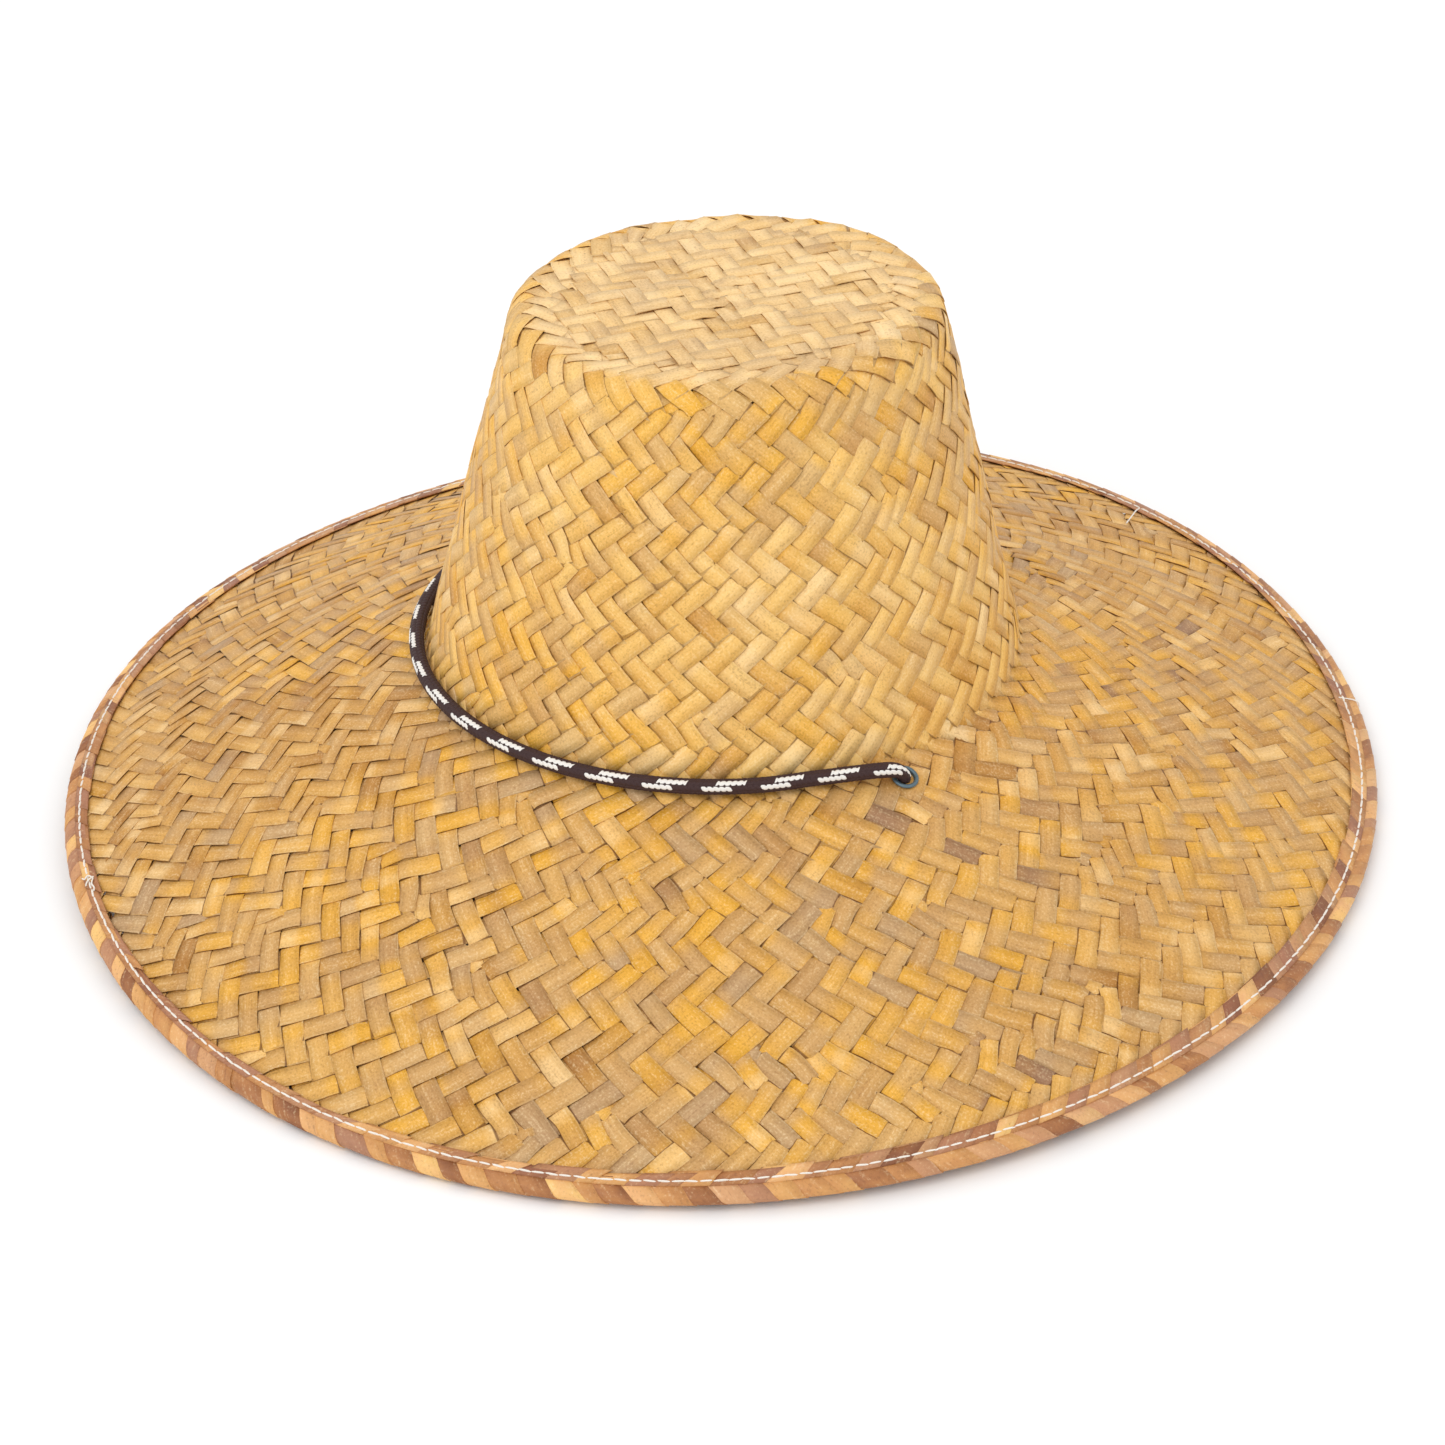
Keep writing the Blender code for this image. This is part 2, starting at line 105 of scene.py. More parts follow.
# Chin loop from each eyelet to the straight runs, in millimetres, as in the part's source
RIGHT_LOOP = (
    (91.6, 9.6, 33.0), (89.9, 14.0, 20.5), (88.9, 22.0, 9.2), (87.2, 34.0, 3.7),
    (83.2, 48.5, 2.9), (75.6, 63.5, 2.8), (64.2, 77.5, 2.8), (48.6, 87.6, 2.8),
    (31.0, 89.5, 3.0), (14.5, 81.5, 3.7), (5.6, 68.0, 5.0), (3.0, 56.0, 5.6),
)
LEFT_LOOP = (
    (-91.8, 9.2, 33.0), (-90.3, 12.6, 20.5), (-88.4, 20.0, 9.4), (-85.0, 31.5, 3.8),
    (-79.0, 45.0, 2.9), (-70.0, 57.5, 2.8), (-57.6, 68.5, 2.8), (-43.0, 75.4, 2.8),
    (-27.5, 76.5, 3.1), (-13.5, 70.5, 4.0), (-5.4, 61.5, 5.2), (-2.95, 53.0, 5.6),
)

# ---- the plait
BAND = 8.8 * MM                  # one band of parallel floats, measured down the hat
ROW = BAND / 2                   # crossings lie in rows half a band apart
DIP = 0.12                       # a strip dips under the next within this share of a row
CRISPNESS = 9.0                  # how suddenly a strip goes from over to under
PLAIT_START = 46.0 * MM          # length from the tip's centre where the round plait starts
MAT_RADIUS = 51.0 * MM           # straight plait in the middle of the tip
MAT_TURN = math.radians(80.0)
MAT_STRIP = 5.8 * MM
SHORTEST_HALF = 9.0 * MM         # half the shortest strip in that plait
STRIP_FILL = 1.05                # strips are a little wider than the gaps they fill
PALE_HAND = (0.0, 0.15)          # left-hand strips are a little paler
STAINED_HAND = (1.0, 0.8)        # and never stained
STRIP_SHINGLE = 0.026            # one edge of a strip lies over the next strip's edge
BRIM_SHINGLE = 0.012             # and a little more so on the brim
STRIP_THICKNESS = 0.27 * MM
STRIP_RELIEF = 0.24 * MM         # a strip rides this far over or under the middle
WIDEST_STRIP = 8.0 * MM
SLACK_ROWS = 90                  # rows that slack and width are drawn for, more than there are
STRIP_SHARP = 8.0                # degrees; a strip folds crisply where it dips under

BUMPS = (                        # height, lobes round the hat, drift down it, start
    (0.30 * MM, 3, 41.0, 0.7), (0.24 * MM, 5, -67.0, 2.1),
    (0.18 * MM, 9, 95.0, 4.0), (0.15 * MM, 14, -150.0, 0.0),
)

# ---- the bound rim and its stitches
TILE_COUNT = 166
TILE_WIDTH = 1.75                # times the tiles' spacing
TILE_LAP = 1.6 * MM              # and this much over that
TILE_SLANT = 0.85                # shift round the rim for each length across the binding
TILE_THICKNESS = 0.30 * MM
BINDING_PRESSED = 1.40 * MM      # the stitches press the leaf down to this over the middle
TABLE_CLEARANCE = 0.2 * MM
STITCH_COUNT = 330
STITCH_RADIUS = 0.36 * MM
STITCH_LINE = -BINDING_WIDTH + STITCH_INSET

# ---- the braided cord
CORD_LENGTH = 0.883
RING_STEP = 0.62 * MM
CORD_SIDES = 16
THREAD_SIDES = 6
BRAID_COLUMNS = 8
BRAID_PITCH = 1.75 * MM
DASH_STITCHES = 5.0              # stitches in a white dash
REPEAT_STITCHES = 10.0           # stitches from one dash to the next
DASH_STAGGER = 2.5               # stitches that a column's dash lies ahead of its neighbour's

# ---- where the camera stands
CAMERA_AZIMUTH = math.radians(60.23)
CAMERA_ELEVATION = math.radians(31.03)
CAMERA_DISTANCE = 1.0488
CAMERA_ROLL = math.radians(-2.5)
CAMERA_AIM = (1.49 * MM, -63.28 * MM)   # right and up, from a point in the crown
AIM_HEIGHT = 90.0 * MM
LENS = 82.36
FLOOR_HALF = 20.0


# ---------------------------------------------------------------- shape of the hat

def settle(points):
    """Takes points of the round, upright hat to the oval, leaning hat with its waving rim."""
    x, y, z = np.atleast_2d(np.asarray(points, float)).T
    radius = np.hypot(x, y)
    out = np.clip((radius - FOOT_RADIUS) / (BRIM_RADIUS - FOOT_RADIUS), 0.0, None)
    held = np.minimum(1.0, FOOT_RADIUS / np.maximum(radius, 1e-9)) * (1.0 - out)
    above = z - FOOT_HEIGHT
    tilt = FOOT_TILT + (TIP_TILT - FOOT_TILT) * above / (TIP_HEIGHT - FOOT_HEIGHT)
    move_y = (above * math.sin(LEAN) + SHIFT_BACK) * (1.0 - out)
    move_z = -y * held * np.sin(tilt)
    angle = np.arctan2(y, x)
    wave = sum(height * np.cos(lobes * (angle - crest)) for lobes, height, crest in RIM_WAVES)
    return np.stack([x - OVAL * x * held, y + move_y, z + move_z + wave * out + LIFT], axis=-1)


def side_radius(height):
    """Radius of the crown's side at a height."""
    along = (height - FOOT_HEIGHT) / (TIP_HEIGHT - FOOT_HEIGHT)
    return FOOT_RADIUS + (TIP_RADIUS - FOOT_RADIUS) * along


def brim_point(out, lift):
    """Radius and height of a point out along the brim from its edge, and lift over it."""
    cos_s, sin_s = math.cos(BRIM_SLOPE), math.sin(BRIM_SLOPE)
    return BRIM_RADIUS + out * cos_s + lift * sin_s, -out * sin_s + lift * cos_s


def arc(centre, radius, start, end, steps):
    angles = [start + (end - start) * i / steps for i in range(steps + 1)]
    return [(centre[0] + radius * math.cos(a), centre[1] + radius * math.sin(a)) for a in angles]


def plait_section():
    """Middle line of the plait from the tip's centre to the bound edge."""
    depth = WALL / 2
    turn = math.pi / 2 - SIDE_SLOPE
    tangent = SHOULDER_RADIUS * math.tan(turn / 2)
    shoulder = arc((TIP_RADIUS - tangent, TIP_HEIGHT - SHOULDER_RADIUS), SHOULDER_RADIUS - depth,
                   math.pi / 2, math.pi / 2 - turn, 12)
    turn = math.pi / 2 - SIDE_SLOPE - BRIM_SLOPE
    tangent = CORNER_RADIUS * math.tan(turn / 2)
    height = FOOT_HEIGHT + tangent * math.cos(SIDE_SLOPE)
    centre = (side_radius(height) + CORNER_RADIUS * math.cos(SIDE_SLOPE),
              height + CORNER_RADIUS * math.sin(SIDE_SLOPE))
    first = math.pi + SIDE_SLOPE
    corner = arc(centre, CORNER_RADIUS + depth, first, first + turn, 10)
    edge = brim_point(-(BINDING_FOLD + GAP), -depth)
    return [(0.0, TIP_HEIGHT - depth)] + shoulder + corner + [edge]


def walked_along(points):
    """Length walked from the first of the points to each of them."""
    steps = np.linalg.norm(np.diff(points, axis=0), axis=1)
    return np.concatenate([[0.0], np.cumsum(steps)])


class Meridian:
    """Radius, height and normal of the plait's middle surface at a length down the hat."""

    def __init__(self):
        line = np.array(plait_section())
        rough = walked_along(line)
        self.total = rough[-1]
        self.length = np.linspace(0.0, self.total, 1200)
        self.radius = np.interp(self.length, rough, line[:, 0])
        self.height = np.interp(self.length, rough, line[:, 1])
        slope_r = np.gradient(self.radius, self.length)
        slope_z = np.gradient(self.height, self.length)
        soft = np.ones(9) / 9
        self.normal_r = np.convolve(np.pad(-slope_z, 4, mode="edge"), soft, "valid")
        self.normal_z = np.convolve(np.pad(slope_r, 4, mode="edge"), soft, "valid")

    def at(self, table, length):
        return np.interp(length, self.length, table)

    def place(self, length, angle, lift):
        """Points on the settled hat; lift is measured out from the middle surface."""
        radius = self.at(self.radius, length) + lift * self.at(self.normal_r, length)
        height = self.at(self.height, length) + lift * self.at(self.normal_z, length)
        flat = np.stack([radius * np.cos(angle), radius * np.sin(angle), height], axis=-1)
        return settle(flat)


line_down = Meridian()


def unit(vectors):
    return vectors / np.maximum(np.linalg.norm(vectors, axis=-1, keepdims=True), 1e-12)


def smooth_step(low, high, value):
    share = np.clip((value - low) / (high - low), 0.0, 1.0)
    return share * share * (3.0 - 2.0 * share)


# ---------------------------------------------------------------- shader building

class Value:
    """A number socket of a finish; arithmetic on it adds Math nodes."""

    def __init__(self, finish, socket):
        self.finish = finish
        self.socket = socket

    def math(self, operation, *others):
        return self.finish.value("ShaderNodeMath", {"operation": operation}, [self, *others])

    def __add__(self, other):
        return self.math("ADD", other)

    __radd__ = __add__

    def __mul__(self, other):
        return self.math("MULTIPLY", other)

    __rmul__ = __mul__

    def __sub__(self, other):
        return self.math("SUBTRACT", other)

    def __rsub__(self, other):
        return (self * -1.0) + other

    def __gt__(self, other):
        return self.math("GREATER_THAN", other)

    def __lt__(self, other):
        return self.math("LESS_THAN", other)

    def floor(self):
        return self.math("FLOOR")

    def fraction(self):
        return self.math("FRACT")

    def size(self):
        return self.math("ABSOLUTE")

    def sine(self):
        return self.math("SINE")

    def wrapped(self, period):
        return self.math("FLOORED_MODULO", period)

    def between(self, low, high):
        """0 below low, 1 above high, smooth between them."""
        settings = {"interpolation_type": "SMOOTHSTEP"}
        return self.finish.value("ShaderNodeMapRange", settings, [self, low, high, 0.0, 1.0])


class Finish:
    """A material that is built one node at a time around its Principled shader."""

    def __init__(self, name):
        self.material = bpy.data.materials.new(name)
        self.material.use_nodes = True
        self.tree = self.material.node_tree
        self.shader = self.tree.nodes["Principled BSDF"]

    def feed(self, socket, source):
        if isinstance(source, Value):
            self.tree.links.new(source.socket, socket)
        else:
            socket.default_value = source

    def node(self, kind, settings, inputs):
        """Adds a node; settings come first, inputs are a list or a dict by socket name."""
        node = self.tree.nodes.new(kind)
        for key, setting in settings.items():
            if key == "stops":
                self.set_stops(node.color_ramp, setting)
            else:
                setattr(node, key, setting)
        named = inputs.items() if isinstance(inputs, dict) else enumerate(inputs)
        for key, source in named:
            self.feed(node.inputs[key], source)
        return node

    def set_stops(self, ramp, stops):
        while len(ramp.elements) < len(stops):
            ramp.elements.new(1.0)
        for element, (place, colour) in zip(ramp.elements, stops):
            element.position = place
            element.color = colour

    def value(self, kind, settings, inputs, output=0):
        return Value(self, self.node(kind, settings, inputs).outputs[output])

    def attribute(self, name, output):
        return self.value("ShaderNodeAttribute", {"attribute_name": name}, {}, output)

    def strip_place(self):
        """Place across the strip, length along it, and 1 where it lies on top."""
        return self.split(self.attribute("strip_place", "Vector"))

    def strip_tint(self):
        """The strip's tone, its oddness and the zone of the hat that it lies in."""
        tint = self.node("ShaderNodeSeparateColor", {}, [self.attribute("strip_tint", "Color")])
        return [Value(self, socket) for socket in tint.outputs[:3]]

    def place(self):
        return self.value("ShaderNodeTexCoord", {}, {}, "Object")

    def round_and_along(self):
        """Share of the way round a tube, and share of its length."""
        return self.split(self.value("ShaderNodeUVMap", {"uv_map": UV_NAME}, {}))[:2]

    def split(self, vector):
        node = self.node("ShaderNodeSeparateXYZ", {}, [vector])
        return [Value(self, socket) for socket in node.outputs]

    def join(self, x, y, z):
        return self.value("ShaderNodeCombineXYZ", {}, [x, y, z])

    def mix(self, share, first, second):
        """Mixes two colours, which are sockets 6 and 7 of the node."""
        node = self.node("ShaderNodeMix", {"data_type": "RGBA"}, {0: share, 6: first, 7: second})
        return Value(self, node.outputs[2])

    def ramp(self, value, stops):
        return self.value("ShaderNodeValToRGB", {"stops": stops}, [value])

    def noise(self, vector, scale, detail=2.0, roughness=0.5):
        inputs = {"Vector": vector, "Scale": scale, "Detail": detail, "Roughness": roughness}
        return self.value("ShaderNodeTexNoise", {}, inputs)

    def set(self, name, source):
        self.feed(self.shader.inputs[name], source)

    def bump(self, height, distance, strength=1.0):
        inputs = {"Height": height, "Distance": distance, "Strength": strength}
        self.set("Normal", self.value("ShaderNodeBump", {}, inputs))


def colour(red, green, blue):
    """Linear colour of a shade given as 0 to 255 on a screen."""
    parts = []
    for part in (red, green, blue):
        share = part / 255.0
        parts.append(share / 12.92 if share <= 0.04045 else ((share + 0.055) / 1.055) ** 2.4)
    return (*parts, 1.0)


CROWN_SHADES = (
    (0.00, colour(198, 139, 58)), (0.16, colour(215, 160, 76)), (0.38, colour(229, 178, 92)),
    (0.62, colour(236, 190, 108)), (0.84, colour(242, 200, 126)), (1.00, colour(247, 212, 146)),
)
BRIM_SHADES = (
    (0.00, colour(140, 88, 36)), (0.16, colour(174, 120, 54)), (0.38, colour(198, 147, 76)),
    (0.60, colour(212, 160, 82)), (0.82, colour(223, 176, 104)), (1.00, colour(233, 194, 134)),
)
TIP_SHADES = (
    (0.00, colour(205, 158, 93)), (0.20, colour(224, 182, 117)), (0.45, colour(238, 199, 138)),
    (0.70, colour(246, 209, 149)), (0.90, colour(250, 217, 163)), (1.00, colour(252, 223, 172)),
)
BINDING_SHADES = (
    (0.00, colour(132, 78, 44)), (0.20, colour(164, 106, 60)), (0.42, colour(196, 136, 78)),
    (0.62, colour(214, 158, 92)), (0.82, colour(226, 170, 112)), (1.00, colour(236, 188, 112)),
)
GOLDEN_LEAF = colour(236, 174, 44)
ASHEN_LEAF = colour(196, 158, 112)
PALE_LEAF = colour(240, 208, 158)
GREY_LEAF = colour(180, 146, 108)
MAUVE_LEAF = colour(142, 104, 82)
# Brown of dark grain lines, and of the painted shade along strips' lowered edges
GRAIN_AND_EDGE_SHADE_BROWN = colour(108, 56, 10)
# Brown of the painted shade, with some dirt, where strips dip under each other
PAINTED_CREASE_SHADE = colour(100, 54, 12)
PALE_EDGE = colour(255, 232, 186)
# Brown of the binding's dark grain lines and of the painted shade at its tiles' laps
BINDING_LINE = colour(104, 60, 36)
ROSE_LEAF = colour(196, 146, 116)
RUSSET_LEAF = colour(150, 92, 66)


def palm_finish():
    """Dried palm leaf: a shade for each strip, lengthwise fibres, browned edges with painted shade
    along them, and painted shade where strips dip under.
    """
    finish = Finish("palm_leaf")
    across, along, lay = finish.strip_place()
    tone, odd, zone = finish.strip_tint()
    place = finish.place()
    brim = zone.between(0.3, 0.7)
    tip = zone.between(-0.1, -0.6)

    seed = odd * 91.7
    patch = finish.noise(finish.join(seed, along * 55.0, tone * 13.0), 1.0, 1.0)
    shade = tone * 0.50 + (patch - 0.5) * 1.0 + 0.25
    body = finish.mix(brim, finish.ramp(shade, CROWN_SHADES), finish.ramp(shade, BRIM_SHADES))
    body = finish.mix(tip, body, finish.ramp(shade, TIP_SHADES))
    hue = finish.noise(finish.join(along * 70.0, tone * 31.0, seed + 2.0), 1.0, 1.0)
    region = finish.noise(place, 14.0, 1.0)
    golden = (hue * 0.6 + region * 0.7).between(0.60, 0.84) * (tip * -0.85 + 1.0)
    body = finish.mix(golden * 0.72, body, GOLDEN_LEAF)
    ashen = (hue * 0.7 - region * 0.5).between(0.13, 0.00)
    body = finish.mix(ashen * 0.45, body, ASHEN_LEAF)
    bleached = (hue * 0.6 + patch * 0.5 - region * 0.2).between(0.52, 0.62)
    body = finish.mix(bleached * 0.40, body, PALE_LEAF)
    other = finish.noise(finish.join(along * 38.0, seed + 5.0, tone * 7.0), 1.0, 1.0)
    greyed = (odd + brim * 0.08 > 0.94) * other.between(0.40, 0.52) * (tip * -1.0 + 1.0)
    body = finish.mix(greyed * 0.7, body, GREY_LEAF)
    stained = (odd < brim * 0.02 + 0.02) * other.between(0.47, 0.60) * (tip * -1.0 + 1.0)
    body = finish.mix(stained * 0.75, body, MAUVE_LEAF)

    fibre = finish.noise(finish.join(across * 9.0, along * 90.0, seed), 1.0, 3.0, 0.6)
    streak = finish.noise(finish.join(across * 2.2, along * 22.0, seed + 7.0), 1.0, 2.0)
    speck = finish.noise(place, 1400.0, 2.0, 0.6)
    grain = (fibre - 0.5) * 0.6 + (streak - 0.5) * 0.6 + (speck - 0.5) * 1.3
    body = finish.mix(grain.between(0.0, 0.42) * 0.36, body, PALE_EDGE)
    body = finish.mix(grain.between(0.0, -0.42) * 0.34, body, GRAIN_AND_EDGE_SHADE_BROWN)

    ragged = (fibre - 0.5) * 0.10
    pale = (across * (patch - 0.45).between(-0.02, 0.02) + ragged).between(0.80, 0.95)
    body = finish.mix(pale * 0.12, body, PALE_EDGE)
    # Darker along each strip's lowered edge, under the next strip's raised edge: browned leaf edge
    # and painted shade under the lap
    edge = (across * -1.0 + ragged).between(0.90, 0.99) * hue.between(0.42, 0.56)
    body = finish.mix(edge * (tip * -0.3 + brim * 0.32 + 0.60), body, GRAIN_AND_EDGE_SHADE_BROWN)
    # Painted shade, with some dirt, where a strip dips under the one it crosses
    crease_shade = (lay + 0.45).size().between(0.62, 0.15) * (tip * -0.30 + brim * 0.15 + 0.62)
    body = finish.mix(crease_shade, body, PAINTED_CREASE_SHADE)
    # Painted shade on the parts of a strip that lie under the strips it crosses
    body = finish.mix(lay.between(-0.3, -1.0) * 0.15, body, PAINTED_CREASE_SHADE)

    finish.set("Base Color", body)
    finish.set("Roughness", streak * 0.25 + 0.45)
    finish.set("Specular IOR Level", 0.35)
    finish.bump(fibre * 0.5 + streak * 0.6 + speck * 0.5, 0.00012, 0.8)
    return finish.material


def binding_finish():
    """Folded palm leaf: redder than the plait, its inner row the darkest."""
    finish = Finish("binding_leaf")
    across, along, _ = finish.strip_place()
    tone, odd, outer = finish.strip_tint()
    place = finish.place()
    seed = odd * 57.3
    fibre = finish.noise(finish.join(across * 6.0 + seed, along * 160.0, seed), 1.0, 3.0, 0.6)
    patch = finish.noise(finish.join(across * 0.8, along * 200.0, seed + 3.0), 1.0, 2.0)
    speck = finish.noise(place, 1300.0, 2.0, 0.6)
    body = finish.ramp(tone * 0.9 + (patch - 0.5) * 0.55 + 0.06, BINDING_SHADES)
    body = finish.mix((odd > 0.72) * 0.45, body, ROSE_LEAF)
    body = finish.mix((outer * -1.0 + 1.0) * (odd > 0.45) * 0.5, body, RUSSET_LEAF)
    body = finish.mix((fibre + speck - 1.0).between(-0.04, -0.40) * 0.4, body, BINDING_LINE)
    body = finish.mix((fibre + speck - 1.0).between(0.04, 0.40) * 0.3, body, PALE_EDGE)
    # Darker along each tile's lowered edge, under the lap of the next tile: painted shade
    edge = (across * -1.0 + (fibre - 0.5) * 0.10).between(0.86, 0.98)
    body = finish.mix(edge * 0.55, body, BINDING_LINE)
    finish.set("Base Color", body)
    finish.set("Roughness", patch * 0.2 + 0.45)
    finish.bump(fibre * 0.6 + patch + speck * 0.5, 0.00012, 0.8)
    return finish.material


def braid_finish():
    """Dark braid of eight columns, with white dashes in two pairs of columns."""
    finish = Finish("braided_cord")
    around, along = finish.round_and_along()
    columns = around * BRAID_COLUMNS
    column = columns.floor()
    beside = columns.fraction() - 0.5
    hand = column.wrapped(2.0) * 2.0 - 1.0
    stitches = along * (CORD_LENGTH / BRAID_PITCH) + hand * beside * 0.55
    place = column.wrapped(4.0)
    run = (stitches + place * DASH_STAGGER).floor()
    dash = (run.wrapped(REPEAT_STITCHES) < DASH_STITCHES - 0.5) * (place < 1.5)
    bulge = (stitches.fraction() - 0.5).size() * -2.0 + 1.0
    lobe = beside.size() < bulge.between(0.0, 0.6) * 0.18 + 0.26
    white = dash * lobe
    fuzz = finish.noise(finish.join(around * 60.0, along * 5200.0, 0.0), 1.0, 2.0, 0.7)
    dark = finish.mix(fuzz, colour(32, 17, 19), colour(74, 44, 42))
    light = finish.mix(fuzz, colour(216, 210, 202), colour(255, 254, 250))
    finish.set("Base Color", finish.mix(white, dark, light))
    finish.set("Roughness", 0.75)
    ridge = bulge.between(0.0, 0.7) + beside.size().between(0.5, 0.25) + fuzz * 0.5 + white * 0.5
    finish.bump(ridge, 0.00022, 0.9)
    return finish.material


def thread_finish():
    finish = Finish("white_thread")
    around, along = finish.round_and_along()
    ply = ((around + along * 4.0) * (3.0 * TURN)).sine() * 0.5 + 0.5
    finish.set("Base Color", finish.mix(ply, colour(222, 212, 198), colour(250, 246, 238)))
    finish.set("Roughness", 0.8)
    finish.bump(ply, 0.00008, 0.6)
    return finish.material


def metal_finish():
    finish = Finish("grey_metal")
    wear = finish.noise(finish.place(), 900.0, 3.0)
    finish.set("Base Color", finish.mix(wear, colour(74, 94, 104), colour(108, 128, 138)))
    finish.set("Metallic", 0.55)
    finish.set("Roughness", wear * 0.25 + 0.28)
    finish.bump(wear, 0.00003, 0.5)
    return finish.material


def wood_finish():
    finish = Finish("bead_wood")
    x, y, z = finish.split(finish.place())
    grain = finish.noise(finish.join(x * 900.0, y * 60.0, z * 900.0), 1.0, 4.0, 0.6)
    rings = ((x + z * 0.35) * 3400.0 + grain * 5.0).sine() * 0.5 + 0.5
    body = finish.mix(rings, colour(186, 134, 80), colour(206, 156, 98))
    body = finish.mix(grain.between(0.55, 0.75) * 0.5, body, colour(120, 74, 38))
    finish.set("Base Color", body)
    finish.set("Roughness", grain * 0.2 + 0.3)
    finish.set("Coat Weight", 0.3)
    finish.bump(grain, 0.0001, 0.5)
    return finish.material


# ---------------------------------------------------------------- plaited strips

def finish_piece(bm, name, material, smooth_angle=50.0):
    """Turns a bmesh into a smooth-shaded object of the scene."""
    mesh = bpy.data.meshes.new(name)
    bm.to_mesh(mesh)
    bm.free()
    mesh.materials.append(material)
    mesh.shade_smooth()
    mesh.set_sharp_from_angle(angle=math.radians(smooth_angle))
    piece = bpy.data.objects.new(name, mesh)
    bpy.context.scene.collection.objects.link(piece)
    return piece


class Strip:
    """One palm strip: its crossings down the hat, and what makes it unlike the others."""

    def __init__(self, first_row, dice):
        self.first_row = first_row
        self.angles = []
        self.gaps = []
        self.tone = dice.random()
        self.odd = dice.random()
        self.tilt = STRIP_SHINGLE + dice.uniform(-0.025, 0.025)
        self.bias = dice.uniform(-0.04, 0.04) * MM
        self.fill = dice.uniform(0.93, 1.05)
        self.early = dice.uniform(0.0, 0.9)
        self.dice = random.Random(dice.random())

    def add(self, angle, gap):
        self.angles.append(angle)
        self.gaps.append(gap)


def plait_strips():
    """Right-hand and left-hand strips: rows of crossings, with new pairs let in as it widens."""
    dice = random.Random(11)
    rows = int((line_down.total - PLAIT_START) / ROW)
    count = round(TURN * line_down.at(line_down.radius, PLAIT_START) / BAND)
    angles = [TURN * (i + dice.uniform(-0.06, 0.06)) / count for i in range(count)]
    right = [Strip(0, dice) for _ in angles]
    left = [Strip(0, dice) for _ in angles]
    everything = ([*right], [*left])
    for row in range(rows + 1):
        radius = line_down.at(line_down.radius, PLAIT_START + row * ROW)
        if row:
            beyond = angles + [angles[0] + TURN]
            cells = [b - a for a, b in zip(beyond, beyond[1:])]
            angles = [a + cell * dice.uniform(0.455, 0.545) for a, cell in zip(angles, cells)]
            left = left[1:] + left[:1]
            while len(angles) < TURN * radius / BAND - 0.5:
                beyond = angles + [angles[0] + TURN]
                cells = [(b - a) * dice.uniform(0.85, 1.15) for a, b in zip(beyond, beyond[1:])]
                widest = cells.index(max(cells))
                angles.insert(widest + 1, (beyond[widest] + beyond[widest + 1]) / 2)
                for side, family in ((right, everything[0]), (left, everything[1])):
                    strip = Strip(row, dice)
                    side.insert(widest + 1, strip)
                    family.append(strip)
        count = len(angles)
        for i, angle in enumerate(angles):
            before = angles[i - 1] - (TURN if i == 0 else 0.0)
            after = angles[(i + 1) % count] + (TURN if i == count - 1 else 0.0)
            gap = (after - before) / 2 * radius
            right[i].add(angle, gap)
            left[i].add(angle, gap)
    return everything


def glide(values, where):
    """Catmull-Rom reading of evenly spaced values."""
    values = np.asarray(values, float)
    padded = np.concatenate([[2 * values[0] - values[1]], values, [2 * values[-1] - values[-2]]])
    index = np.clip(np.floor(where).astype(int), 0, len(values) - 2)
    share = where - index
    a, b, c, d = (padded[index + i] for i in range(4))
    return b + 0.5 * share * (c - a + share * (2 * a - 5 * b + 4 * c - d
                                               + share * (3 * (b - c) + d - a)))


def drawn_along(where, knots, dice, low, high):
    """A value that is drawn afresh at each knot and runs evenly between them."""
    return np.interp(where, knots, [dice.uniform(low, high) for _ in knots])


def lay_of(row, family):
    """1 where a strip lies on top of those it crosses, -1 where it lies under them."""
    wave = np.tanh(CRISPNESS * np.cos(math.pi * (row / 2 - 0.25)))
    return wave if family == 0 else -wave


def crossing_steps(low, high, border):
    """Places along a strip: the middle of each crossing, and close about its borders."""
    shares = (border - DIP, border + DIP, border + 0.5)
    cells = range(math.floor(low) - 1, math.ceil(high) + 1)
    inner = [cell + share for cell in cells for share in shares]
    return np.array([low, *[step for step in inner if low + 0.03 < step < high - 0.03], high])


def add_ribbon(bm, layers, length, angle, half, lift, tilt, marks):
    """One flat strip as a grid two points across, laid along its line down the hat."""
    ripple = undulation(length, angle)
    centre = line_down.place(length, angle, ripple)
    normal = unit(line_down.place(length, angle, ripple + MM) - centre)
    side = unit(np.cross(normal, np.gradient(centre, axis=0)))
    rows = len(centre)
    made = bmesh.ops.create_grid(bm, x_segments=1, y_segments=rows - 1, size=1.0)
    place_layer, tint_layer = layers
    along = walked_along(centre)
    for vert in made["verts"]:
        across = vert.co.x
        i = round((vert.co.y + 1.0) / 2.0 * (rows - 1))
        rise = lift[i] + half[i] * tilt[i] * across
        vert.co = centre[i] + side[i] * (half[i] * across) + normal[i] * rise
        vert[place_layer] = (across, along[i] + marks["start"], marks["lay"][i])
        vert[tint_layer] = (marks["tone"], marks["odd"], marks["zone"][i], 1.0)


def strip_layers(bm):
    layers = bm.verts.layers
    return layers.float_vector.new("strip_place"), layers.float_color.new("strip_tint")


def undulation(length, angle):
    """Gentle bumps of a hat that was shaped by hand, fading out at the foot and the rim."""
    away = np.minimum(np.abs(length - foot_length()), line_down.total - length)
    fade = smooth_step(6.0 * MM, 30.0 * MM, away)
    waves = [height * np.sin(lobes * angle + drift * length + start)
             for height, lobes, drift, start in BUMPS]
    return sum(waves) * fade


